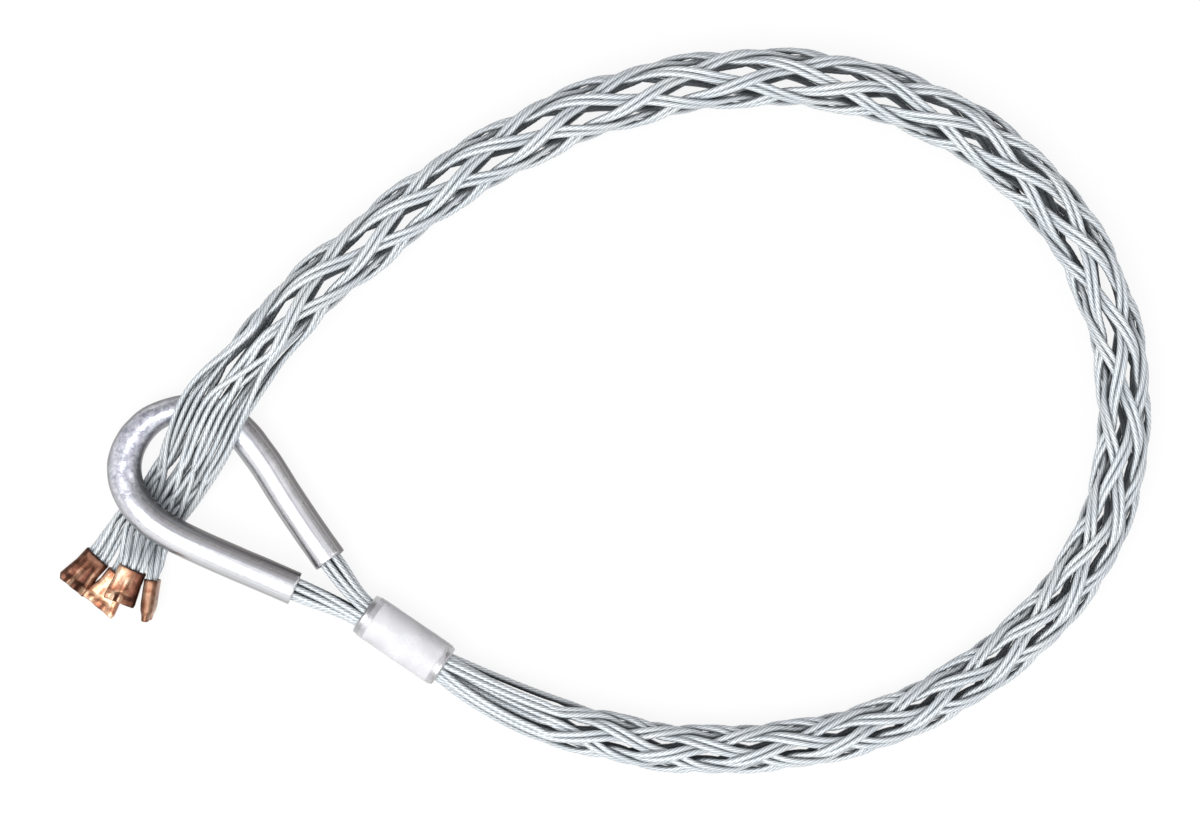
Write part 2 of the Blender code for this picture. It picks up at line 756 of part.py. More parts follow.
def make_crimp(index, collection):
    """Copper sleeve pressed flat on its rope ends: hollow at its mouth, thin and wide at its tip."""
    name = f"crimp_{index + 1:02d}"
    material = new_material(name, (0.55, 0.27, 0.17), 1.0, 0.35)
    mouth, ahead, width, thick = crimp_axes(index)
    tip_width = crimp_mouth_width + 2 * crimp_tip_spread
    tip_corner = crimp_tip_thickness * crimp_tip_rounding
    tip = (tip_width * crimp_tip_taper, crimp_tip_thickness * crimp_tip_thinning, tip_corner)
    sleeve = (crimp_mouth_width, crimp_mouth_thickness, crimp_corner)
    bore = (crimp_mouth_width - 2 * crimp_wall, crimp_mouth_thickness - 2 * crimp_wall,
            crimp_corner - crimp_wall)
    sections = [(crimp_length, tip),
                (crimp_length * crimp_full_width_at, (tip_width, crimp_tip_thickness, tip_corner)),
                (crimp_grip_length, sleeve), (0.0, sleeve), (0.0, bore), (crimp_grip_length, bore)]
    build = bmesh.new()
    rings = []
    for along, section in sections:
        ring = []
        for across, up in rounded_box(*section):
            ring.append(build.verts.new(mouth + ahead * along + width * across + thick * up))
        rings.append(ring)
    build.faces.new(rings[0])
    for first, second in zip(rings, rings[1:]):
        for corner in range(len(first)):
            after = (corner + 1) % len(first)
            build.faces.new((first[corner], first[after], second[after], second[corner]))
    build.faces.new(rings[-1])
    bmesh.ops.recalc_face_normals(build, faces=build.faces)
    mesh = bpy.data.meshes.new(name)
    build.to_mesh(mesh)
    build.free()
    mesh.materials.append(material)
    mesh.shade_smooth()
    mesh.set_sharp_from_angle(angle=40 * deg)
    collection.objects.link(bpy.data.objects.new(name, mesh))


def build_grip():
    clear_scene()
    collection = new_collection("cable_pulling_grip")
    guides = new_collection("guides")
    make_ropes(collection, guides)
    make_sleeve(collection)
    make_ferrule(collection)
    for index in range(crimp_count):
        make_crimp(index, collection)


build_grip()
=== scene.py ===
import math
import random

import bpy
import numpy as np
from mathutils import Matrix, Vector
from mathutils import noise as fractal


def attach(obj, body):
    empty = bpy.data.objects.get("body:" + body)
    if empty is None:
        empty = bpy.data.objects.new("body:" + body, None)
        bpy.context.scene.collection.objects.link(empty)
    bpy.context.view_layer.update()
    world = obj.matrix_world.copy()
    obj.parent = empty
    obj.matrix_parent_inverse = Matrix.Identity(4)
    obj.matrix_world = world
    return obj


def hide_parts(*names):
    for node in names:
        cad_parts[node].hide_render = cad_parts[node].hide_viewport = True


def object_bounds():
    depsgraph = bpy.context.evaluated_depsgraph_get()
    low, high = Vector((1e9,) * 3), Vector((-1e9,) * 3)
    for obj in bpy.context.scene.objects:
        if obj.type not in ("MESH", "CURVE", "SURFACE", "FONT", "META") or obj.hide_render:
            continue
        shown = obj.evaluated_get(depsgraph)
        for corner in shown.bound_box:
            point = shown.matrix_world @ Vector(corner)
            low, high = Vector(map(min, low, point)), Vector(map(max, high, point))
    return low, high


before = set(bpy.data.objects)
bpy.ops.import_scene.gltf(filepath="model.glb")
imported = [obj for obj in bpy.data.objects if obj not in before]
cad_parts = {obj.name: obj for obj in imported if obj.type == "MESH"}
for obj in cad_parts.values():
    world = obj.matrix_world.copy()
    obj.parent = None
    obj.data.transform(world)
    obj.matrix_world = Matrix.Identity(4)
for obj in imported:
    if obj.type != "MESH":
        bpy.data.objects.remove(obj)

mm = 0.001
deg = math.pi / 180
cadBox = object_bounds()
rng = random.Random(31)


# Small helpers

def interp(stations, place):
    return float(np.interp(place, [s[0] for s in stations], [s[1] for s in stations]))


def eased(share):
    return share * share * (3 - 2 * share)


def clamped(share):
    return min(max(share, 0.0), 1.0)


def unit(rows):
    return rows / np.linalg.norm(rows, axis=-1, keepdims=True)


def spline(points, step, nearest=1e-6):
    # cubic Hermite through the points, sampled evenly by length; further columns come along
    points = np.array([list(p) for p in points], dtype=float)
    gaps = np.linalg.norm(np.diff(points[:, :3], axis=0), axis=1)
    keep = np.concatenate([[True], gaps > nearest])
    points = points[keep]
    along = np.concatenate([[0.0], np.cumsum(np.linalg.norm(np.diff(points[:, :3], axis=0), axis=1))])
    slope = np.gradient(points, along, axis=0)
    count = max(int(along[-1] / step), 2)
    at = np.linspace(0.0, along[-1], count + 1)
    index = np.clip(np.searchsorted(along, at, side="right") - 1, 0, len(along) - 2)
    width = (along[index + 1] - along[index])[:, None]
    t = (at - along[index])[:, None] / width
    start = (1 + 2 * t) * (1 - t) ** 2 * points[index] + t * (1 - t) ** 2 * width * slope[index]
    end = t * t * (3 - 2 * t) * points[index + 1] - t * t * (1 - t) * width * slope[index + 1]
    return start + end


def makeRoute(points, step=0.4 * mm):
    at = spline(points, step)
    run = np.concatenate([[0.0], np.cumsum(np.linalg.norm(np.diff(at, axis=0), axis=1))])
    return {"at": at, "run": run, "length": float(run[-1])}


def routePoint(route, along):
    return np.array([np.interp(along, route["run"], route["at"][:, axis]) for axis in range(3)])


def routeHeading(route, along, reach=2.5 * mm):
    ahead = routePoint(route, min(along + reach, route["length"]))
    behind = routePoint(route, max(along - reach, 0.0))
    return unit(ahead - behind)


def withMiddle(along, side, rise):
    # a place and the middle of the bundle beside it
    return np.concatenate([sockPoint(along, side, rise), sockPoint(along, 0.0, 0.0)])


def polar(angle, radius):
    return np.array([radius * math.sin(angle), radius * math.cos(angle)])


def settle(places, spacing, rounds=300, push=0.3, slack=1e-3):
    # pushes the places apart, a little each round, until they keep their spacing
    places = np.array(places, dtype=float)
    for _ in range(rounds):
        gap = places[:, None, :] - places[None, :, :]
        away = np.linalg.norm(gap, axis=2)
        np.fill_diagonal(away, spacing)
        short = np.clip(spacing - away, 0.0, None)
        if short.max() < slack * spacing:
            break
        places = places + (gap / away[:, :, None] * short[:, :, None]).sum(axis=1) * push
    return places


# Settings shared with the CAD: the same routes and sizes

shift = {"x": -0.5202 * mm, "y": 0.0483 * mm, "z": -0.0228 * mm}
rope = {"radius": 0.75 * mm, "pitch": 1.54 * mm, "apart": 1.6 * mm, "count": 10,
        "floor": 0.05 * mm, "step": 0.8 * mm}
# each list runs along the sock from the ferrule; opening is a share of the closed ring
weave = {"braid": 15.5 * deg, "start": 39.5 * mm, "levels": 39, "turn": 36 * deg,
         "firstPair": -18 * deg, "twist": 36 * deg, "samples": 7, "spreads": (0.14, 0.86, 6),
         "heightStops": 90,
         "opening": [(50 * mm, 1.09), (112 * mm, 1.10), (160 * mm, 1.14), (225 * mm, 1.20),
                     (275 * mm, 1.28), (330 * mm, 1.33), (415 * mm, 1.38), (460 * mm, 1.33),
                     (560 * mm, 1.31)],
         "pitches": [(0, 11.5 * mm), (130 * mm, 11.9 * mm), (250 * mm, 12.4 * mm),
                     (320 * mm, 13.3 * mm), (430 * mm, 13.9 * mm), (560 * mm, 13.9 * mm)],
         "twisting": [(225 * mm, 1.0), (335 * mm, 0.0)],
         "depth": [(50 * mm, 2.05 * mm), (225 * mm, 2.0 * mm), (415 * mm, 1.95 * mm)],
         "sag": [(50 * mm, 0.24), (225 * mm, 0.22), (330 * mm, 0.12), (560 * mm, 0.08)]}
ferrule = {"length": 25.4 * mm, "radius": 5.8 * mm, "bore": 4.55 * mm, "wraps": 0.42 * mm}
sleeve = {"radius": 4.6 * mm, "wall": 0.55 * mm}
eyeBundle = {"inner": 0.88 * mm, "outer": 2.36 * mm, "apart": 1.5 * mm, "before": 2.0 * mm,
             "after": 2.1 * mm, "step": 3.2 * mm, "pinched": 1.5}
tail = {"armSpan": 3.6 * mm, "underSpan": 5.0 * mm, "seatGap": 0.3 * mm, "ringLift": 4.4 * mm,
        "rowClose": 0.96, "rowSpread": 1.12, "fanSlack": 1.25, "overPitch": 1.85 * mm,
        "lead": 2.5 * mm, "inMouth": 1.0 * mm, "endGap": 0.4 * mm, "climbLevels": 3, "join": 4 * mm,
        "below": np.array([0.0, 0.0, 2 * mm])}
# a crimp's place is its plan point, heading, lift, pitch and roll; ends are the rope ends it holds
crimp = {"length": 9.0 * mm, "grip": 6.2 * mm, "wall": 0.5 * mm, "gap": 0.12 * mm, "each": 5,
         "tip": 2.1 * mm, "tipSpread": 0.2 * mm, "zigzag": 0.78,
         "places": [((-136.0, -40.4), 226.7, 0.0, 0.0, 0.0), ((-129.6, -45.2), 232.5, 0.0, 0.0, 0.0),
                    ((-125.0, -42.8), 246.5, 4.1, 2.5, 0.0), ((-120.0, -47.0), 261.5, 0.0, 0.0, 90.0)],
         "ends": [(10, 0, 11, 1, 12), (13, 2, 14, 15, 16), (3, 4, 5, 6, 7), (17, 8, 18, 9, 19)]}
sockPlan = [(-63.0, -53.7), (-52.5, -60.8), (-42.0, -68.0), (-28.1, -75.9), (-13.4, -82.2),
            (2.3, -86.4), (17.6, -89.4), (33.6, -89.9), (49.5, -88.7), (65.2, -85.8), (80.3, -80.6),
            (94.4, -73.2), (107.5, -64.0), (119.1, -52.9), (128.3, -40.4), (135.0, -25.5),
            (138.2, -9.8), (138.5, 6.1), (136.2, 21.8), (130.7, 37.0), (122.7, 50.7), (112.0, 62.6),
            (99.7, 72.7), (85.5, 80.1), (70.5, 85.2), (54.7, 88.1), (38.7, 88.4), (22.6, 86.7),
            (7.0, 83.0), (-8.0, 78.1), (-22.3, 71.1), (-36.3, 63.4), (-49.4, 54.5), (-61.8, 44.3),
            (-74.2, 34.1), (-85.3, 22.5), (-94.8, 11.2), (-101.7, 2.0), (-106.9, -8.4),
            (-113.2, -18.9), (-119.9, -28.1), (-124.8, -34.8)]
sleevePlan = [(-72.2, -39.7, 5.6), (-77.0, -33.0, 5.3), (-84.0, -22.7, 4.9), (-90.8, -12.2, 4.7),
              (-97.5, -4.3, 4.7), (-104.9, -0.1, 4.7), (-112.3, 0.4, 5.0), (-118.6, -1.6, 5.5),
              (-123.3, -5.7, 6.1), (-126.2, -11.4, 6.8), (-126.5, -17.9, 7.4), (-123.9, -23.9, 8.0),
              (-119.3, -28.9, 8.4), (-113.3, -32.8, 8.6), (-106.3, -36.2, 8.6), (-98.0, -39.9, 8.3),
              (-89.5, -43.6, 7.7), (-81.4, -47.2, 7.0)]
ends = 2 * rope["count"]
halfRow = rope["count"] // 2
step = {"across": crimp["zigzag"] * rope["apart"]}
step["up"] = math.sqrt(rope["apart"] ** 2 - step["across"] ** 2)
crimp["corner"] = rope["radius"] + crimp["gap"] + crimp["wall"]
crimp["width"] = (crimp["each"] - 1) * step["across"] + 2 * crimp["corner"]
crimp["thick"] = step["up"] + 2 * crimp["corner"]
closedRing = ends * rope["apart"] / (2 * math.pi * math.cos(weave["braid"]))


def placed(x, y, z=0.0):
    return (x * mm + shift["x"], y * mm + shift["y"], z * mm + shift["z"])


sockRoute = makeRoute([placed(x, y) for x, y in sockPlan])
sleeveRoute = makeRoute([placed(x, y, z) for x, y, z in sleevePlan])


def opening(along):
    return closedRing * interp(weave["opening"], along)


levels = [weave["start"]]
while len(levels) <= weave["levels"]:
    levels.append(levels[-1] + interp(weave["pitches"], levels[-1]))


def levelPlace(level):
    numbers = [-1.0] + [float(n) for n in range(len(levels))]
    return float(np.interp(level, numbers, [levels[0] - interp(weave["pitches"], 0)] + levels))


firstLevel, lastLevel = -0.5, weave["levels"] - 0.5
ringStart, ringEnd = levelPlace(firstLevel), levelPlace(lastLevel)


def armPlaces(samples=400):
    # where the tail lies over one arm of the eye and under the other
    gaps = []
    for along in np.linspace(ringEnd, sockRoute["length"] - ferrule["length"], samples):
        place = routePoint(sockRoute, along + ferrule["length"])
        away = np.linalg.norm(sleeveRoute["at"][:, :2] - place[:2], axis=1)
        gaps.append((float(away.min()), float(along)))
    middle = (ringEnd + sockRoute["length"] - ferrule["length"]) / 2
    return min(g for g in gaps if g[1] < middle)[1], min(g for g in gaps if g[1] >= middle)[1]


overArm, underArm = armPlaces()
overPlace = routePoint(sockRoute, overArm + ferrule["length"])
nearest = int(np.argmin(np.linalg.norm(sleeveRoute["at"][:, :2] - overPlace[:2], axis=1)))
rowHeight = rope["apart"]
heights = {"ferrule": ferrule["radius"] + ferrule["wraps"] + rope["floor"],
           "over": float(sleeveRoute["at"][nearest, 2]) + sleeve["radius"] + tail["seatGap"]
           + rope["radius"] + rowHeight / 2,
           "bench": rope["floor"] + rope["radius"] + rowHeight / 2}
climb = levelPlace(weave["levels"] - tail["climbLevels"])
heightStations = [(0.0, heights["ferrule"]), (ringStart, opening(ringStart) + rope["radius"])]
heightStations += [(s, opening(s) + rope["radius"] + rope["floor"])
                   for s in np.linspace(levels[1], climb, weave["heightStops"])]
heightStations += [(ringEnd, opening(ringEnd) + rope["radius"] + tail["ringLift"]),
                   (overArm - tail["armSpan"], heights["over"]),
                   (overArm + tail["armSpan"], heights["over"]),
                   (underArm - tail["underSpan"], heights["bench"]),
                   (underArm + tail["underSpan"], heights["bench"])]


def sockHeight(along, half=3.0 * mm):
    # the mean over a short stretch, so the sock rises and sinks smoothly
    window = [along + half * share for share in (-1.0, -0.5, 0.0, 0.5, 1.0)]
    return sum(interp(heightStations, place) for place in window) / len(window) + shift["z"]


def sockPoint(along, side, rise):
    place = routePoint(sockRoute, along + ferrule["length"])
    heading = routeHeading(sockRoute, along + ferrule["length"])
    place[2] = sockHeight(along)
    return place + np.array([heading[1], -heading[0], 0.0]) * side + np.array([0, 0, rise])


# Where each rope runs

def slotStrand(slot):
    # which way the strand winds, its pair, and its side of the pair
    pair = ((slot + 1) // 2) % rope["count"]
    return (1 if pair % 2 == 0 else -1), pair // 2, (1 if slot % 2 == 0 else -1)


innerHalf = [0, 4, 8]  # of ten ropes, these run inside the ring of the others
innerSlots = sorted(innerHalf + [ends - 1 - slot for slot in innerHalf])
outerSlots = [slot for slot in range(ends) if slot not in innerSlots]


def bundleSection():
    places = [None] * ends
    for ring in (innerSlots, outerSlots):
        radius = rope["pitch"] / (2 * math.sin(math.pi / len(ring)))
        for order, slot in enumerate(ring):
            places[slot] = polar((order + 0.5) * 2 * math.pi / len(ring), radius)
    return np.array(places)


def pairAngle(turn, pair, level):
    share = interp(weave["twisting"], levelPlace(level))
    start = weave["firstPair"] + pair * 2 * weave["turn"]
    return start + turn * weave["turn"] * level + weave["twist"] * eased(share)


def halfWidth(level, turn, radius):
    # half the angle between the strands of a pair, more where they slant more
    before, after = levelPlace(level - 0.5), levelPlace(level + 0.5)
    swing = weave["twist"] * (eased(interp(weave["twisting"], after))
                              - eased(interp(weave["twisting"], before)))
    slant = math.atan2(radius * abs(turn * weave["turn"] + swing), after - before)
    return rope["pitch"] / (2 * radius * math.cos(slant))


def weavePlace(slot, own):
    # own counts the rope's own crossings, which lie a little before or after the pair's
    turn, pair, side = slotStrand(slot)
    along = levelPlace(own)
    depth = interp(weave["depth"], along)
    middle = opening(along) - depth / 2
    half = halfWidth(own, turn, middle)
    phase = math.pi * (min(max(own, 0.0), weave["levels"] - 1.0) - (1 if turn > 0 else 0))
    sag = interp(weave["sag"], along)
    share = 0.5 - 0.5 * math.cos(phase) - sag * (1 - math.cos(2 * phase)) / 2
    radius = opening(along) - depth * share
    wide = half * (middle / radius + 1) / 2
    level = own - turn * side * half / (2 * weave["turn"])
    return level, pairAngle(turn, pair, level) + side * wide, radius


def ringPlaces(own):
    return np.array([polar(*weavePlace(slot, own)[1:]) for slot in range(ends)])


firstRing, lastRing = ringPlaces(firstLevel), ringPlaces(lastLevel)
bundle = bundleSection()


def spreadSection(share):
    places = []
    for slot in range(ends):
        part = share * share if slot in innerSlots else 1 - (1 - share) ** 2
        places.append(bundle[slot] * (1 - part) + firstRing[slot] * part)
    return settle(places, rope["pitch"])


def rowSection(spread=1.0):
    places = []
    pitch = tail["rowClose"] * rope["apart"] * spread
    for order in range(ends):
        top = order < halfRow or order >= ends - halfRow
        if top:
            side = ((order if order < halfRow else order - ends) + 0.5) * pitch
        else:
            side = (rope["count"] - order - 0.5) * pitch
        places.append((side, rowHeight * (spread - 0.5) if top else -rowHeight / 2))
    return np.array(places)


def crimpAxes(index):
    (x, y), heading, lift, pitch, roll = crimp["places"][index]
    turn = Matrix.Rotation(heading * deg, 3, "Z") @ Matrix.Rotation(pitch * deg, 3, "Y")
    turn = turn @ Matrix.Rotation(-roll * deg, 3, "X")
    half = crimp["width"] / 2 + crimp["tipSpread"] if roll else crimp["thick"] / 2
    mouth = np.array(placed(x, y, lift)) + np.array([0, 0, rope["floor"] + half])
    axes = [np.array(turn @ Vector(v)) for v in ((1, 0, 0), (0, -1, 0), (0, 0, 1))]
    return mouth, axes[0], axes[1], axes[2]


ringOrder = sorted(range(ends), key=lambda s: math.atan2(*lastRing[s]) % (2 * math.pi))
# the top row and then the bottom one, each from the outside of the loop inwards
endOrders = [halfRow - 1 - c for c in range(halfRow)] + [ends - 1 - c for c in range(halfRow)]
endOrders += [halfRow + c for c in range(rope["count"])]
seats = {}
for index, group in enumerate(crimp["ends"]):
    startsLow = group[0] >= rope["count"]
    for place, end in enumerate(group):
        low = (place % 2 == 0) == startsLow
        across = ((crimp["each"] - 1) / 2 - place) * step["across"]
        seats[endOrders[end]] = (index, across, step["up"] * (-0.5 if low else 0.5))


def seatPoints(order):
    index, across, up = seats[order]
    mouth, ahead, wide, thick = crimpAxes(index)
    place = mouth + wide * across + thick * up
    runs = (-tail["lead"], tail["inMouth"], crimp["grip"] - tail["endGap"])
    return [np.concatenate([place + ahead * run, mouth + ahead * run - tail["below"]]) for run in runs]


def fanPoints():
    start = underArm + tail["underSpan"]
    rows = rowSection(tail["rowSpread"])
    heading = routeHeading(sockRoute, start + ferrule["length"])
    outward = np.array([heading[1], -heading[0], 0.0])
    middles = [(sockPoint(start, *rows[o]) + seatPoints(o)[0][:3]) / 2 for o in range(ends)]
    flat = np.array([(m @ outward, m[2]) for m in middles])
    moved = settle(flat, tail["fanSlack"] * rope["pitch"])
    points = []
    for middle, before, after in zip(middles, flat, moved):
        height = max(after[1], rope["radius"] + rope["floor"])
        place = middle + outward * (after[0] - before[0]) + np.array([0, 0, height - middle[2]])
        points.append(np.concatenate([place, place - tail["below"]]))
    return points


def tailSections():
    # the loose tail: each section eases toward the next key row and is then pushed clear
    settings = {"top": 0.62, "under": 0.5, "lead": 2 * mm, "step": 1.5 * mm, "follow": 0.55,
                "rounds": 30, "armHalf": 5 * mm, "passes": 5}
    tangle = [17, 15, 12, 19, 16, 0, 18, 3, 7, 1]  # top row over the arm, inside to outside
    under = [14, 13, 11, 10, 9, 8, 5, 6, 4, 2]
    over = np.zeros((ends, 2))
    for row, high in ((tangle, rowHeight * settings["top"]), (under, -rowHeight * settings["under"])):
        for column, order in enumerate(row):
            over[order] = ((column - (len(row) - 1) / 2) * tail["overPitch"], high)
    start = np.array([lastRing[ringOrder[order]] for order in range(ends)])
    keys = [(ringEnd, start), (overArm - settings["lead"], over), (overArm + tail["armSpan"], over),
            (underArm - tail["underSpan"], rows)]
    stations = np.arange(ringEnd, underArm - tail["underSpan"] + 0.1 * mm, settings["step"])
    now, sections = start, [start]
    for along in stations[1:]:
        index = max(i for i, key in enumerate(keys[:-1]) if key[0] <= along)
        share = min((along - keys[index][0]) / (keys[index + 1][0] - keys[index][0]), 1.0)
        target = keys[index][1] * (1 - eased(share)) + keys[index + 1][1] * eased(share)
        now = settle(now + (target - now) * settings["follow"], rope["pitch"], settings["rounds"])
        floor = rope["radius"] + rope["floor"] - sockHeight(along)
        if abs(along - overArm) < settings["armHalf"]:
            floor = -rowHeight * settings["under"]
        now[:, 1] = np.maximum(now[:, 1], floor)
        sections.append(now)
    sections = np.array(sections)
    for _ in range(settings["passes"]):
        sections[1:-1] = sections[1:-1] * 0.5 + (sections[:-2] + sections[2:]) * 0.25
    sections[-2] = (sections[-3] + rows) / 2
    return list(zip(stations, sections))[1:-1:2]  # every second one is enough for a smooth path


spreads = {share: spreadSection(share) for share in np.linspace(*weave["spreads"])}
rows, lastRow, fan = rowSection(), rowSection(tail["rowSpread"]), fanPoints()
tails = tailSections()


def endPath(slot):
    points = [withMiddle(along, *bundle[slot]) for along in np.linspace(-ferrule["length"], 0.0, 6)]
    points += [withMiddle(ringStart * share, *section[slot]) for share, section in spreads.items()]
    for own in np.arange(firstLevel, lastLevel + 0.5 / weave["samples"], 1 / weave["samples"]):
        level, angle, radius = weavePlace(slot, own)
        points.append(withMiddle(levelPlace(level), *polar(angle, radius)))
    order = ringOrder.index(slot)
    reached = levelPlace(level) + tail["join"]  # the last crossing flows into the tail without a kink
    points += [withMiddle(along, *section[order]) for along, section in tails if along > reached]
    for along in (underArm - tail["underSpan"], underArm):
        points.append(withMiddle(along, *rows[order]))
    points.append(withMiddle(underArm + tail["underSpan"], *lastRow[order]))
    points.append(fan[order])
    return points + seatPoints(order)


# the sleeve is pinched a little where the eye is bent tightest
pinch = [(0, 1.0), (48 * mm, 1.0), (56 * mm, 0.86), (64 * mm, 0.80), (71 * mm, 0.90),
         (80 * mm, 1.0), (160 * mm, 1.0)]


def eyeFrame(along):
    inside = min(max(along, 0.0), sleeveRoute["length"])
    heading = routeHeading(sleeveRoute, inside)
    place = routePoint(sleeveRoute, inside) + heading * (along - inside)
    outward = unit(np.array([heading[1], -heading[0], 0.0]))
    return place, outward, np.cross(outward, heading)


def eyeSection():
    outer = [slot for slot in range(rope["count"]) if slot not in innerHalf]
    places = [None] * rope["count"]
    for ring, radius in ((innerHalf, eyeBundle["inner"]), (outer, eyeBundle["outer"])):
        for order, slot in enumerate(ring):
            turn = (order - (len(ring) - 1) / 2) * 2 * math.pi / len(ring)
            places[slot] = (radius * math.cos(turn), -radius * math.sin(turn))
    return settle(places, eyeBundle["apart"])


eyePlaces = eyeSection()


def ropePath(number):
    side, rise = eyePlaces[number]
    middle = []
    for along in np.arange(-eyeBundle["before"], sleeveRoute["length"] + eyeBundle["after"],
                           eyeBundle["step"]):
        place, outward, up = eyeFrame(along)
        squeeze = interp(pinch, along) ** eyeBundle["pinched"]
        middle.append(np.concatenate([place + outward * side * squeeze + up * rise, place]))
    whole = endPath(ends - 1 - number)[::-1] + middle + endPath(number)
    return spline(whole, rope["step"])


# Meshes

def gridMesh(name, grid, capped=True):
    # quads over rows of points; each row is one ring, kept inside the CAD box
    grid = np.clip(grid, np.array(cadBox[0]), np.array(cadBox[1]))
    count, around = grid.shape[:2]
    mesh = bpy.data.meshes.new(name)
    row = np.arange(count - 1)[:, None] * around
    col = np.arange(around)[None, :]
    nxt = (col + 1) % around
    quads = np.stack([row + col, row + nxt, row + around + nxt, row + around + col], axis=-1)
    faces = quads.reshape(-1, 4).tolist()
    if capped:
        faces.append(list(range(around))[::-1])
        faces.append([(count - 1) * around + c for c in range(around)])
    mesh.from_pydata(grid.reshape(-1, 3).tolist(), [], faces)
    mesh.shade_smooth()
    return mesh


def addPiece(name, mesh, material, node):
    piece = bpy.data.objects.new(name, mesh)
    bpy.context.scene.collection.objects.link(piece)
    mesh.materials.append(material)
    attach(piece, "root")
    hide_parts(node)


def pointValues(mesh, name, values):
    layer = mesh.attributes.new(name, "FLOAT", "POINT")
    layer.data.foreach_set("value", np.asarray(values, dtype=np.float32).ravel())


# Node helpers

def nodeGroup(name, outputs):
    group = bpy.data.node_groups.new(name, "ShaderNodeTree")
    for label, kind in outputs:
        group.interface.new_socket(label, in_out="OUTPUT", socket_type=kind)
    return group


def add(tree, kind, **settings):
    node = tree.nodes.new(kind)
    for key, value in settings.items():
        setattr(node, key, value)
    return node


def ramp(tree, source, stops):
    node = tree.nodes.new("ShaderNodeValToRGB")
    while len(node.color_ramp.elements) < len(stops):
        node.color_ramp.elements.new(0.5)
    for element, (place, colour) in zip(node.color_ramp.elements, stops):
        element.position = place
        element.color = (*colour, 1.0)
    tree.links.new(source, node.inputs["Fac"])
    return node.outputs["Color"]


def noiseTexture(tree, scale, detail, vector=None, distortion=0.0):
    node = tree.nodes.new("ShaderNodeTexNoise")
    node.inputs["Scale"].default_value = scale
    node.inputs["Detail"].default_value = detail
    node.inputs["Distortion"].default_value = distortion
    if vector is None:
        vector = tree.nodes.new("ShaderNodeTexCoord").outputs["Object"]
    tree.links.new(vector, node.inputs["Vector"])
    return node.outputs["Fac"]


def mixColour(tree, share, first, second):
    node = add(tree, "ShaderNodeMix", data_type="RGBA")
    for socket, value in ((node.inputs[0], share), (node.inputs[6], first), (node.inputs[7], second)):
        if hasattr(value, "is_linked"):
            tree.links.new(value, socket)
        elif isinstance(value, tuple):
            socket.default_value = (*value, 1.0)
        else:
            socket.default_value = value
    return node.outputs[2]


def calc(tree, operation, first, second=None, third=None):
    node = add(tree, "ShaderNodeMath", operation=operation)
    for socket, value in zip(node.inputs, (first, second, third)):
        if value is None:
            continue
        if hasattr(value, "is_linked"):
            tree.links.new(value, socket)
        else:
            socket.default_value = value
    return node.outputs[0]


def attribute(tree, name):
    return add(tree, "ShaderNodeAttribute", attribute_name=name).outputs["Fac"]


def bump(tree, height, strength, distance):
    node = tree.nodes.new("ShaderNodeBump")
    node.inputs["Strength"].default_value = strength
    node.inputs["Distance"].default_value = distance
    tree.links.new(height, node.inputs["Height"])
    return node.outputs["Normal"]


def finishGroup(tree, results):
    out = tree.nodes.new("NodeGroupOutput")
    for label, socket in results.items():
        tree.links.new(socket, out.inputs[label])


def shaderMaterial(name, group, metallic):
    material = bpy.data.materials.new(name)
    material.use_nodes = True
    tree = material.node_tree
    shader = tree.nodes["Principled BSDF"]
    effect = add(tree, "ShaderNodeGroup", node_tree=group)
    shader.inputs["Metallic"].default_value = metallic
    sockets = {"Colour": "Base Color", "Roughness": "Roughness", "Normal": "Normal", "Alpha": "Alpha"}
    for label, socket in sockets.items():
        if label in effect.outputs:
            tree.links.new(effect.outputs[label], shader.inputs[socket])
    return material


surface = [("Colour", "NodeSocketColor"), ("Roughness", "NodeSocketFloat"),
           ("Normal", "NodeSocketVector")]

print("routes ready")


# Wire ropes: six strands laid round each other, with worn crowns, painted shade in the valleys and painted
# shade on the sides that face into the bundle

def ropeEffect():
    tree = nodeGroup("galvanisedRope", surface)
    grooveShade = attribute(tree, "grooveShade")
    inner = attribute(tree, "inner")
    patches = noiseTexture(tree, 90.0, 3.0)
    fine = noiseTexture(tree, 2600.0, 2.0)
    zinc = ramp(tree, patches, [(0.30, (0.62, 0.67, 0.70)), (0.52, (0.74, 0.79, 0.82)),
                                (0.72, (0.82, 0.85, 0.85))])
    speck = mixColour(tree, calc(tree, "MULTIPLY", fine, 0.30), zinc, (0.92, 0.95, 0.96))
    # painted shade: the valleys between strands are mixed toward dark slate
    colour = mixColour(tree, grooveShade, speck, (0.13, 0.15, 0.17))
    # painted shade on the sides of the ropes that face into the bundle, varied by the patches noise
    inwardShade = calc(tree, "MULTIPLY_ADD", patches, 0.5, 0.60)
    colour = mixColour(tree, calc(tree, "MULTIPLY", inner, inwardShade), colour, (0.045, 0.055, 0.065))
    rough = calc(tree, "MULTIPLY_ADD", patches, 0.20, 0.36)
    finishGroup(tree, {"Colour": colour, "Roughness": rough,
                       "Normal": bump(tree, fine, 0.25, 0.00003)})
    return tree


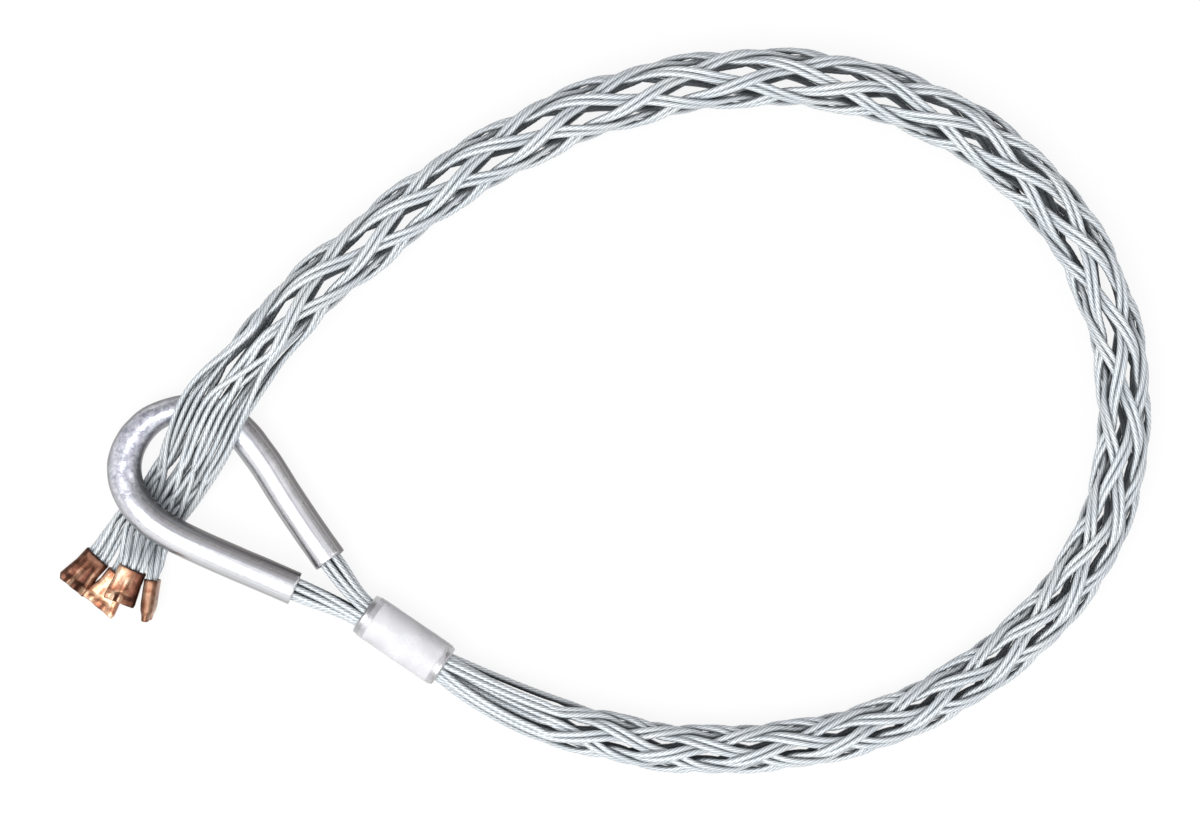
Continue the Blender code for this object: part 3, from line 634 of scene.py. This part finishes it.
def makeRopes():
    settings = {"strands": 6, "lay": 10.0 * mm, "valley": 0.83, "shoulder": 0.96, "valleyDark": 0.62,
                "fuller": 1.12, "darkFrom": 0.25, "darkOver": 0.6, "darkPower": 1.2, "metallic": 0.30}
    group = ropeEffect()
    radius = rope["radius"] * settings["fuller"]  # ropes pressed together touch
    shape = np.array([settings["valley"], settings["shoulder"], settings["shoulder"]])
    shape = np.tile(shape, settings["strands"]) * radius
    # how much painted shade each valley vertex gets
    dark = np.tile(np.array([settings["valleyDark"], 0.0, 0.0]), settings["strands"])
    for number in range(rope["count"]):
        path, middle = np.split(ropePath(number), 2, axis=1)
        heading = unit(np.gradient(path, axis=0))
        side = unit(np.cross(heading, np.array([0.0, 0.0, 1.0])))
        up = np.cross(side, heading)
        along = np.concatenate([[0.0], np.cumsum(np.linalg.norm(np.diff(path, axis=0), axis=1))])
        spin = 2 * math.pi * along / settings["lay"] + rng.uniform(0, 6)
        angles = 2 * math.pi * np.arange(len(shape)) / len(shape)
        angles = angles[None, :] + spin[:, None]
        ring = side[:, None, :] * np.cos(angles)[:, :, None] + up[:, None, :] * np.sin(angles)[:, :, None]
        grid = path[:, None, :] + ring * shape[None, :, None]
        outward = unit(path - middle)
        facing = 0.5 - 0.5 * np.einsum("nki,ni->nk", ring, outward)  # 1 where it faces the middle
        # inner: painted shade on the side that faces the middle of the bundle, where little light reaches
        inner = np.clip((facing - settings["darkFrom"]) / settings["darkOver"], 0.0, 1.0)
        mesh = gridMesh(f"wireRope{number + 1:02d}", grid)
        pointValues(mesh, "grooveShade", np.tile(dark, len(path)))
        pointValues(mesh, "inner", inner ** settings["darkPower"])
        material = shaderMaterial(f"ropeSteel{number + 1:02d}", group, settings["metallic"])
        addPiece(f"wireRope{number + 1:02d}", mesh, material, f"rope_{number + 1:02d}")
    print("ropes")


makeRopes()


# Sleeve: bright tube, drawn lengthwise, mottled and pinched in the bend, with painted shade on its sides
# and inside its ends

def sleeveEffect():
    tree = nodeGroup("bentTube", surface)
    mouthShade = attribute(tree, "mouthShade")
    bend = attribute(tree, "bend")
    along = add(tree, "ShaderNodeAttribute", attribute_name="tubePlace").outputs["Vector"]
    streak = noiseTexture(tree, 420.0, 4.0, vector=along)
    mottle = noiseTexture(tree, 700.0, 5.0, distortion=0.8)
    tone = ramp(tree, streak, [(0.32, (0.60, 0.60, 0.63)), (0.50, (0.85, 0.86, 0.89)),
                               (0.68, (0.97, 0.97, 0.98))])
    lilac = ramp(tree, mottle, [(0.34, (0.43, 0.44, 0.51)), (0.50, (0.63, 0.64, 0.71)),
                                (0.66, (0.86, 0.88, 0.93))])
    colour = mixColour(tree, bend, tone, lilac)
    # painted shade: the sides of the tube are mixed toward dark taupe
    sideShade = calc(tree, "MULTIPLY", attribute(tree, "flankShade"), calc(tree, "MULTIPLY_ADD", streak, 0.6, 0.68))
    colour = mixColour(tree, sideShade, colour, (0.120, 0.108, 0.105))
    # painted shade inside the tube ends and on their rims
    colour = mixColour(tree, mouthShade, colour, (0.16, 0.15, 0.15))
    rough = calc(tree, "MULTIPLY_ADD", mottle, 0.20, 0.20)
    height = calc(tree, "ADD", calc(tree, "MULTIPLY", streak, 0.5),
                  calc(tree, "MULTIPLY", mottle, calc(tree, "MULTIPLY", bend, 0.7)))
    finishGroup(tree, {"Colour": colour, "Roughness": rough,
                       "Normal": bump(tree, height, 0.30, 0.0003)})
    return tree


def makeSleeve():
    settings = {"around": 56, "step": 0.7 * mm, "rim": 0.16 * mm, "inside": 6 * mm, "lip": 0.1 * mm,
                "bulge": 0.30, "spare": 0.05 * mm, "dent": 0.10 * mm, "dentScale": 260.0,
                "dentAt": 4 * mm, "plainDent": 0.35, "sink": 0.8, "streakRound": 0.02, "streakAlong": 0.05,
                "unshaded": 0.52, "fade": 0.42, "sideShade": 0.78, "side": 0.22, "away": np.array([0.42, 0.91]),
                "bends": [(34 * mm, 0.0), (52 * mm, 1.0), (84 * mm, 1.0), (104 * mm, 0.15),
                          (125 * mm, 0.0)]}
    length = sleeveRoute["length"]
    stops = np.linspace(0.0, length, int(length / settings["step"]))
    angles = 2 * math.pi * np.arange(settings["around"]) / settings["around"]
    outer, mouthShade, bent, flankShade, places = [], [], [], [], []
    rim = settings["rim"]

    def ring(along, radius, darkness):
        place, outward, up = eyeFrame(along)
        squeeze = interp(pinch, along)
        bulge = 1 + (1 - squeeze) * settings["bulge"]
        bending = interp(settings["bends"], along)
        row, flankShades = [], []
        for angle in angles:
            facing = outward * math.cos(angle) + up * math.sin(angle)
            # painted shade grows as the surface turns sideways; below the unshaded share it stays bright
            lying = (math.hypot(facing[0], facing[1]) - settings["unshaded"]) / settings["fade"]
            side = settings["side"] * float(facing[:2] @ settings["away"])
            flankShades.append(eased(clamped(lying)) * (settings["sideShade"] + side))  # painted shade on the sides, darker on the side facing +X and +Y; the top is left bright
            spot = Vector(place + facing * settings["dentAt"]) * settings["dentScale"]
            dent = fractal.noise(spot) * settings["dent"] * (settings["plainDent"] + bending)
            reach = radius + dent - settings["dent"] * settings["sink"]
            rise = min(reach * bulge, sleeve["radius"] + settings["spare"])
            row.append(place + outward * math.cos(angle) * reach * squeeze + up * math.sin(angle) * rise)
        outer.append(row)
        mouthShade.append([darkness] * len(angles))
        flankShade.append(flankShades)
        bent.append([bending] * len(angles))
        wide, tall = np.cos(angles) * settings["streakRound"], np.sin(angles) * settings["streakRound"]
        places.append([(x, y, along * settings["streakAlong"]) for x, y in zip(wide, tall)])

    inside = sleeve["radius"] - sleeve["wall"]
    # each ring: place along, radius and how dark its painted shade is
    mouth = [(settings["inside"], inside, 1.0), (settings["lip"], inside, 1.0),
             (0.0, inside + 0.5 * rim, 1.0), (0.0, sleeve["radius"] - rim, 0.8),
             (0.35 * rim, sleeve["radius"] - 0.25 * rim, 0.15)]
    for along, radius, darkness in mouth:
        ring(along, radius, darkness)
    for along in stops[1:-1]:
        ring(along, sleeve["radius"], 0.0)
    for along, radius, darkness in reversed(mouth):
        ring(length - along, radius, darkness)
    mesh = gridMesh("eyeSleeve", np.array(outer), capped=False)
    pointValues(mesh, "mouthShade", mouthShade)
    pointValues(mesh, "bend", bent)
    pointValues(mesh, "flankShade", flankShade)
    layer = mesh.attributes.new("tubePlace", "FLOAT_VECTOR", "POINT")
    layer.data.foreach_set("vector", np.array(places, dtype=np.float32).ravel())
    material = shaderMaterial("sleeveMetal", sleeveEffect(), 1.0)
    addPiece("eyeSleeve", mesh, material, "eye_sleeve")
    print("sleeve")


makeSleeve()


# Ferrule, its plain label and the clear tape over it

ferruleStart = sockPoint(-ferrule["length"], 0.0, 0.0)
ferruleEnd = sockPoint(0.0, 0.0, 0.0)
ferruleAhead = unit(ferruleEnd - ferruleStart)
ferruleSide = unit(np.cross(np.array([0.0, 0.0, 1.0]), ferruleAhead))
ferruleUp = np.cross(ferruleAhead, ferruleSide)


def turned(profile, around, wobble=None):
    grid = []
    for along, radius in profile:
        row = []
        for angle in 2 * math.pi * np.arange(around) / around:
            run, reach = wobble(along, radius, angle) if wobble else (along, radius)
            row.append(ferruleStart + ferruleAhead * run + ferruleSide * math.cos(angle) * reach
                       + ferruleUp * math.sin(angle) * reach)
        grid.append(row)
    return np.array(grid)


def wrapProfile(settings):
    inner = ferrule["radius"] + settings["gap"]
    stops = list(np.linspace(settings["from"], settings["from"] + settings["wide"], settings["stops"]))
    outside = [(along, inner + settings["thick"]) for along in stops]
    return [(stops[0], inner)] + outside + [(stops[-1], inner), (stops[0], inner)]


def ferruleEffect():
    tree = nodeGroup("pressedSleeve", surface)
    scuff = noiseTexture(tree, 900.0, 5.0)
    soft = noiseTexture(tree, 120.0, 2.0)
    tone = ramp(tree, soft, [(0.3, (0.40, 0.40, 0.41)), (0.6, (0.58, 0.58, 0.59))])
    colour = mixColour(tree, calc(tree, "MULTIPLY", scuff, 0.3), tone, (0.42, 0.41, 0.41))
    rough = calc(tree, "MULTIPLY_ADD", scuff, 0.2, 0.24)
    finishGroup(tree, {"Colour": colour, "Roughness": rough, "Normal": bump(tree, scuff, 0.2, 0.0001)})
    return tree


def paperEffect():
    tree = nodeGroup("plainLabel", surface)
    fibre = noiseTexture(tree, 1500.0, 4.0)
    shade = noiseTexture(tree, 160.0, 3.0)
    colour = ramp(tree, shade, [(0.28, (0.60, 0.60, 0.62)), (0.42, (0.80, 0.80, 0.81)),
                                (0.7, (0.88, 0.88, 0.89))])
    rough = calc(tree, "MULTIPLY_ADD", fibre, 0.15, 0.42)
    finishGroup(tree, {"Colour": colour, "Roughness": rough, "Normal": bump(tree, shade, 0.3, 0.0002)})
    return tree


def tapeEffect():
    tree = nodeGroup("clearTape", surface + [("Alpha", "NodeSocketFloat")])
    wave = noiseTexture(tree, 240.0, 3.0)
    colour = ramp(tree, wave, [(0.35, (0.70, 0.70, 0.72)), (0.65, (0.92, 0.92, 0.95))])
    rough = calc(tree, "MULTIPLY_ADD", wave, 0.12, 0.06)
    alpha = calc(tree, "MULTIPLY_ADD", wave, 0.30, 0.10)
    finishGroup(tree, {"Colour": colour, "Roughness": rough, "Alpha": alpha,
                       "Normal": bump(tree, wave, 0.5, 0.0004)})
    return tree


def makeFerrule():
    settings = {"around": 96, "round": 0.55 * mm, "arcStops": 6, "stops": 26, "chamfer": 0.25 * mm,
                "inside": 4.0 * mm, "skin": 0.3 * mm, "sunk": 0.06 * mm, "swell": 0.05 * mm, "swells": 5}
    length, outer, bore = ferrule["length"], ferrule["radius"], ferrule["bore"]
    edge, chamfer = settings["round"], settings["chamfer"]
    arc = [(edge * (1 - math.sin(t)), outer - edge * (1 - math.cos(t)))
           for t in np.linspace(math.pi / 2, 0, settings["arcStops"])]
    mouth = [(settings["inside"], bore), (chamfer, bore), (0.0, bore + chamfer)] + arc
    body = [(along, outer) for along in np.linspace(edge, length - edge, settings["stops"])[1:-1]]
    profile = mouth + body + [(length - along, radius) for along, radius in reversed(mouth)]

    def pressed(along, radius, angle):
        if radius < outer - settings["skin"]:
            return along, radius
        swell = settings["swell"] * math.sin(along / length * math.pi * settings["swells"])
        return along, radius - settings["sunk"] + swell * math.cos(angle * 2)

    mesh = gridMesh("ferruleBody", turned(profile, settings["around"], pressed), capped=False)
    material = shaderMaterial("ferruleMetal", ferruleEffect(), 0.95)
    addPiece("ferruleBody", mesh, material, "ferrule")
    print("ferrule")


def makeLabel():
    settings = {"around": 96, "from": 2.9 * mm, "wide": 20.4 * mm, "stops": 40, "gap": 0.03 * mm,
                "thick": 0.12 * mm}
    mesh = gridMesh("plainLabel", turned(wrapProfile(settings), settings["around"]), capped=False)
    addPiece("plainLabel", mesh, shaderMaterial("labelPaper", paperEffect(), 0.0), "label")
    print("label")


def makeTape():
    # jags of the torn end: seed, scale and size of the noise
    settings = {"around": 96, "from": 1.4 * mm, "wide": 23.0 * mm, "stops": 40, "gap": 0.20 * mm,
                "thick": 0.09 * mm, "jags": [(7.0, 2.3, 0.9 * mm), (2.0, 9.0, 0.25 * mm)],
                "lift": 0.06 * mm, "liftScale": 250}

    def torn(along, radius, angle):
        share = (along - settings["from"]) / settings["wide"]
        jag = 0.0
        for seed, scale, size in settings["jags"]:
            jag += fractal.noise(Vector((math.cos(angle), math.sin(angle), seed)) * scale) * size
        spot = Vector((math.cos(angle), math.sin(angle), along * settings["liftScale"]))
        return along + jag * share, radius + settings["lift"] * max(0.0, fractal.noise(spot))

    mesh = gridMesh("clearTape", turned(wrapProfile(settings), settings["around"], torn), capped=False)
    addPiece("clearTape", mesh, shaderMaterial("tapeFilm", tapeEffect(), 0.0), "label_tape")
    print("tape")


makeFerrule()
makeLabel()
makeTape()


# Copper crimps, pressed flat and creased, tarnished, with painted shade in their hollows and on sides and
# facets

def copperEffect():
    tree = nodeGroup("pressedCopper", surface)
    stain = noiseTexture(tree, 330.0, 5.0, distortion=0.6)
    fine = noiseTexture(tree, 1800.0, 3.0)
    wear = attribute(tree, "wear")
    hollow = attribute(tree, "hollow")
    tarnishAndShade = attribute(tree, "tarnishAndShade")
    unshaded = ramp(tree, stain, [(0.28, (0.20, 0.070, 0.040)), (0.42, (0.52, 0.23, 0.135)),
                               (0.56, (0.86, 0.57, 0.38)), (0.75, (0.97, 0.84, 0.67))])
    # dark tarnished copper, which also stands in for painted shade on crimps and facets turned from the
    # light
    tarnishAndShadeTone = ramp(tree, stain, [(0.30, (0.012, 0.005, 0.003)), (0.45, (0.034, 0.012, 0.008)),
                              (0.60, (0.085, 0.030, 0.020)), (0.80, (0.26, 0.11, 0.075))])
    tone = mixColour(tree, tarnishAndShade, unshaded, tarnishAndShadeTone)
    colour = mixColour(tree, calc(tree, "MULTIPLY", wear, 0.22), tone, (0.60, 0.30, 0.19))
    # painted shade inside the crimp's hollow, near black
    colour = mixColour(tree, hollow, colour, (0.03, 0.015, 0.01))
    rough = calc(tree, "MULTIPLY_ADD", stain, 0.20, 0.28)
    height = calc(tree, "ADD", calc(tree, "MULTIPLY", stain, 0.8), calc(tree, "MULTIPLY", fine, 0.2))
    finishGroup(tree, {"Colour": colour, "Roughness": rough, "Normal": bump(tree, height, 0.4, 0.0003)})
    return tree


def boxSection(width, thickness, corner, quarterPoints, sidePoints):
    wide, tall = width / 2 - corner, thickness / 2 - corner
    corners = [(wide, tall), (-wide, tall), (-wide, -tall), (wide, -tall)]
    places = []
    for quarter, (x, y) in enumerate(corners):
        for index in range(quarterPoints):
            angle = (quarter + index / (quarterPoints - 1)) * math.pi / 2
            places.append((x + math.cos(angle) * corner, y + math.sin(angle) * corner))
        angle = (quarter + 1) * math.pi / 2
        x, y = corners[(quarter + 1) % 4]
        start, end = places[-1], (x + math.cos(angle) * corner, y + math.sin(angle) * corner)
        for index in range(1, sidePoints + 1):
            share = index / (sidePoints + 1)
            places.append(tuple(a * (1 - share) + b * share for a, b in zip(start, end)))
    return places


def makeCrimp(index, group, look):
    settings = {"quarter": 5, "side": 17, "stops": 44, "from": 0.09, "to": 0.985, "narrow": 0.985,
                "early": 0.30, "earlyFrom": 0.12, "earlyOver": 0.3, "late": 0.70, "lateFrom": 3.4 * mm,
                "lateOver": 2.2 * mm, "crease": 0.30, "deepest": 0.8 * mm, "dent": 0.07 * mm,
                "dentScale": 420, "dentAlong": 170, "fineScale": 2.7, "fine": 0.4,
                "edgeWear": 0.6, "dentWear": 3, "foldShade": 0.55, "roundest": 0.48}
    # rings over the rim from the hollow outwards, and round the tip: each starts with its place along,
    # or before the end, and ends with how dark its painted shade is or how worn it is
    hollowRings = [(3.5 * mm, 0.9, 0.0, 0.0, 1.0), (0.35 * mm, 1.0, 0.0, 0.0, 0.9),
                   (0.04 * mm, 1.0, 0.25 * mm, 0.12 * mm, 0.7)]
    rimRings = [(0.0, 0.45 * mm, 0.2 * mm, 0.6), (0.12 * mm, 0.08 * mm, 0.0, 0.5),
                (0.45 * mm, 0.0, 0.0, 0.35)]
    tipRings = [(0.03 * mm, 0.95, 0.66, 0.9), (0.01 * mm, 0.90, 0.30, 0.7)]
    mouth, ahead, wide, thick = crimpAxes(index)
    reach = look["reach"] * mm  # how far the mouth slides back up the ropes
    mouth = mouth - ahead * reach
    length, grip = crimp["length"] + reach, crimp["grip"] + reach
    tipWidth = (crimp["width"] + 2 * crimp["tipSpread"]) * look["flare"]
    stations = {"width": [(0, crimp["width"]), (grip * 0.5, crimp["width"]), (length * 0.9, tipWidth),
                          (length, tipWidth * 0.97)],
                "thick": [(0, crimp["thick"]), (grip * 0.8, crimp["thick"] * 0.96),
                          (grip, crimp["thick"] * 0.86), (length - 1.6 * mm, crimp["tip"] * 1.05),
                          (length, crimp["tip"] * 0.85)]}
    rings, wear, hollow, tarnishAndShade = [], [], [], []

    def ring(along, width, thickness, corner, worn, dark):
        row, worns, tarnishAndShades = [], [], []
        share = along / length
        early = clamped((share - settings["earlyFrom"]) / settings["earlyOver"])
        late = clamped((along - length + settings["lateFrom"]) / settings["lateOver"])
        press = eased(early) * settings["early"] + eased(late) * settings["late"]  # most past the rope ends
        corner = min(corner, thickness * settings["roundest"])
        for x, y in boxSection(width, thickness, corner, settings["quarter"], settings["side"]):
            across = 2 * x / width
            fold = 0.0
            for atMouth, atTip, depth in look["creases"]:
                middle = atMouth * (1 - share) + atTip * share
                fold += depth * mm * max(0.0, 1 - abs(across - middle) / settings["crease"])
            fold = min(fold, settings["deepest"]) * press * (1 if y > 0 else 0)
            spot = Vector((x * settings["dentScale"] + look["seed"], y * settings["dentScale"],
                           along * settings["dentAlong"]))
            dent = fractal.noise(spot) + fractal.noise(spot * settings["fineScale"]) * settings["fine"]
            dent *= settings["dent"]
            height = y if dark else y - fold + dent
            height = math.copysign(min(abs(height), thickness / 2), height)
            slant = look["skew"] * mm * share * across
            row.append(mouth + ahead * (along + slant) + wide * x * settings["narrow"] + thick * height)
            worns.append(min(1.0, worn + abs(across) ** 8 * settings["edgeWear"]
                             + max(0.0, dent / mm) * settings["dentWear"]))
            # painted shade: one side of the crimp and one side of each crease darken, added to the crimp's
            # own tarnish level
            slope = sum(math.copysign(depth, across - atTip) for _, atTip, depth in look["creases"]
                        if abs(across - atTip) < settings["crease"])
            shade = look["shade"] * across + slope * settings["foldShade"] * press
            tarnishAndShades.append(clamped(look["tarnishAndShade"] + shade))
        rings.append(row)
        wear.append(worns)
        tarnishAndShade.append(tarnishAndShades)
        hollow.append([dark] * len(row))

    inWidth, inThick = crimp["width"] - 2 * crimp["wall"], crimp["thick"] - 2 * crimp["wall"]
    inCorner = crimp["corner"] - crimp["wall"]
    for along, share, more, rounder, dark in hollowRings:
        ring(along, inWidth * share + more, inThick * share + more, inCorner + rounder, 0.0, dark)
    for along, trim, sharper, dark in rimRings:
        ring(along, crimp["width"] - trim, crimp["thick"] - trim, crimp["corner"] - sharper, 0.0, dark)
    for share in np.linspace(settings["from"], settings["to"], settings["stops"]):
        along = length * share
        width, thickness = interp(stations["width"], along), interp(stations["thick"], along)
        ring(along, width, thickness, crimp["corner"], 0.1, 0.0)
    for before, wideShare, thickShare, worn in tipRings:
        ring(length - before, tipWidth * wideShare, crimp["tip"] * thickShare, crimp["corner"], worn, 0.0)
    mesh = gridMesh(f"copperCrimp{index + 1}", np.array(rings))
    pointValues(mesh, "wear", wear)
    pointValues(mesh, "hollow", hollow)
    pointValues(mesh, "tarnishAndShade", tarnishAndShade)
    material = shaderMaterial(f"crimpCopper{index + 1}", group, 1.0)
    addPiece(f"copperCrimp{index + 1}", mesh, material, f"crimp_{index + 1:02d}")


copper = copperEffect()
# each look: creases, its level of tarnish and painted shade, painted shade across its width, skew, reach,
# flare and noise seed
crimpLooks = [{"creases": [(-0.2, -0.55, 0.8), (0.1, 0.30, 0.7)], "tarnishAndShade": 0.95, "shade": 0.0, "skew": 0.3,
               "reach": 2.0, "flare": 1.14, "seed": 3.0},
              {"creases": [(-0.3, -0.40, 0.7), (0.3, 0.45, 0.6)], "tarnishAndShade": 0.12, "shade": 0.0, "skew": -0.2,
               "reach": 1.6, "flare": 1.32, "seed": 11.0},
              {"creases": [(-0.1, 0.10, 0.9), (0.5, 0.70, 0.5)], "tarnishAndShade": 0.70, "shade": -0.55, "skew": 0.2,
               "reach": 1.0, "flare": 1.09, "seed": 23.0},
              {"creases": [(0.1, 0.00, 0.5)], "tarnishAndShade": 0.50, "shade": 0.25, "skew": 0.1,
               "reach": 2.2, "flare": 1.05, "seed": 37.0}]
for number, look in enumerate(crimpLooks):
    makeCrimp(number, copper, look)
print("crimps")


# Stage: white ground, soft light from above, photo's camera

def whiteFloor():
    # white with a faint shadow to the camera and in reflections, darker to light that bounces
    settings = {"half": 1.5, "drop": 0.2 * mm, "shadow": 0.12, "bounce": (0.20, 0.20, 0.205),
                "white": (0.92, 0.92, 0.92)}
    mesh = bpy.data.meshes.new("ground")
    half = settings["half"]
    mesh.from_pydata([(-half, -half, 0), (half, -half, 0), (half, half, 0), (-half, half, 0)], [],
                     [(0, 1, 2, 3)])
    floor = bpy.data.objects.new("ground", mesh)
    floor.location.z = -settings["drop"]
    bpy.context.scene.collection.objects.link(floor)
    material = bpy.data.materials.new("groundWhite")
    material.use_nodes = True
    tree = material.node_tree
    shader = tree.nodes["Principled BSDF"]
    shader.inputs["Roughness"].default_value = 1.0
    shader.inputs["Specular IOR Level"].default_value = 0.0
    glow = tree.nodes.new("ShaderNodeEmission")
    glow.inputs["Color"].default_value = (1, 1, 1, 1)
    mix = tree.nodes.new("ShaderNodeMixShader")
    ray = tree.nodes.new("ShaderNodeLightPath")
    seen = calc(tree, "ADD", ray.outputs["Is Camera Ray"], ray.outputs["Is Glossy Ray"])
    seen = calc(tree, "MINIMUM", calc(tree, "ADD", seen, ray.outputs["Is Transmission Ray"]), 1.0)
    paint = mixColour(tree, seen, settings["bounce"], settings["white"])
    tree.links.new(paint, shader.inputs["Base Color"])
    tree.links.new(calc(tree, "MULTIPLY", seen, 1 - settings["shadow"]), mix.inputs["Fac"])
    tree.links.new(shader.outputs["BSDF"], mix.inputs[1])
    tree.links.new(glow.outputs["Emission"], mix.inputs[2])
    tree.links.new(mix.outputs["Shader"], tree.nodes["Material Output"].inputs["Surface"])
    mesh.materials.append(material)


def softSky():
    # darkest toward +X and +Y, so the tubes get a shaded side
    settings = {"x": 0.35, "y": 0.75, "z": 0.25, "strength": 0.92}
    world = bpy.data.worlds.new("softbox")
    bpy.context.scene.world = world
    world.use_nodes = True
    tree = world.node_tree
    back = tree.nodes["Background"]
    coord = tree.nodes.new("ShaderNodeTexCoord")
    split = tree.nodes.new("ShaderNodeSeparateXYZ")
    tree.links.new(coord.outputs["Generated"], split.inputs["Vector"])
    away = calc(tree, "ADD", calc(tree, "MULTIPLY", split.outputs["X"], settings["x"]),
                calc(tree, "MULTIPLY", split.outputs["Y"], settings["y"]))
    away = calc(tree, "SUBTRACT", away, calc(tree, "MULTIPLY", split.outputs["Z"], settings["z"]))
    shade = ramp(tree, calc(tree, "MULTIPLY_ADD", away, 0.5, 0.5),
                 [(0.10, (1.0, 1.0, 1.0)), (0.44, (0.97, 0.97, 1.0)), (0.56, (0.70, 0.70, 0.74)),
                  (0.80, (0.32, 0.30, 0.29))])
    tree.links.new(shade, back.inputs["Color"])
    back.inputs["Strength"].default_value = settings["strength"]


def areaLight(name, place, size, power):
    data = bpy.data.lights.new(name, "AREA")
    data.shape = "RECTANGLE"
    data.size, data.size_y = size
    data.energy = power
    lamp = bpy.data.objects.new(name, data)
    lamp.location = place
    lamp.rotation_euler = (Vector((0, 0, 0)) - Vector(place)).to_track_quat("-Z", "Y").to_euler()
    bpy.context.scene.collection.objects.link(lamp)


whiteFloor()
softSky()
lamps = {"topSoftbox": {"place": (-0.20, -0.28, 0.75), "size": (0.6, 0.6), "power": 4.4},
         "sideStrip": {"place": (0.55, 0.25, 0.45), "size": (0.15, 0.7), "power": 0.6}}
for name, lamp in lamps.items():
    areaLight(name, **lamp)

view = {"height": 0.70, "width": 0.3192, "plane": 0.006, "near": 0.01, "x": -0.92 * mm, "y": -0.62 * mm}
camera = bpy.data.objects.new("camera", bpy.data.cameras.new("camera"))
camera.location = (view["x"], view["y"], view["height"])
camera.data.lens = camera.data.sensor_width * (view["height"] - view["plane"]) / view["width"]
camera.data.clip_start = view["near"]
bpy.context.scene.collection.objects.link(camera)
scene = bpy.context.scene
scene.camera = camera
scene.render.resolution_x, scene.render.resolution_y = 1200, 827
scene.view_settings.view_transform = "Standard"
scene.view_settings.look = "None"
scene.view_settings.exposure = 0.0
print("stage")

print("cad", [[round(c * 1000, 2) for c in corner] for corner in cadBox])
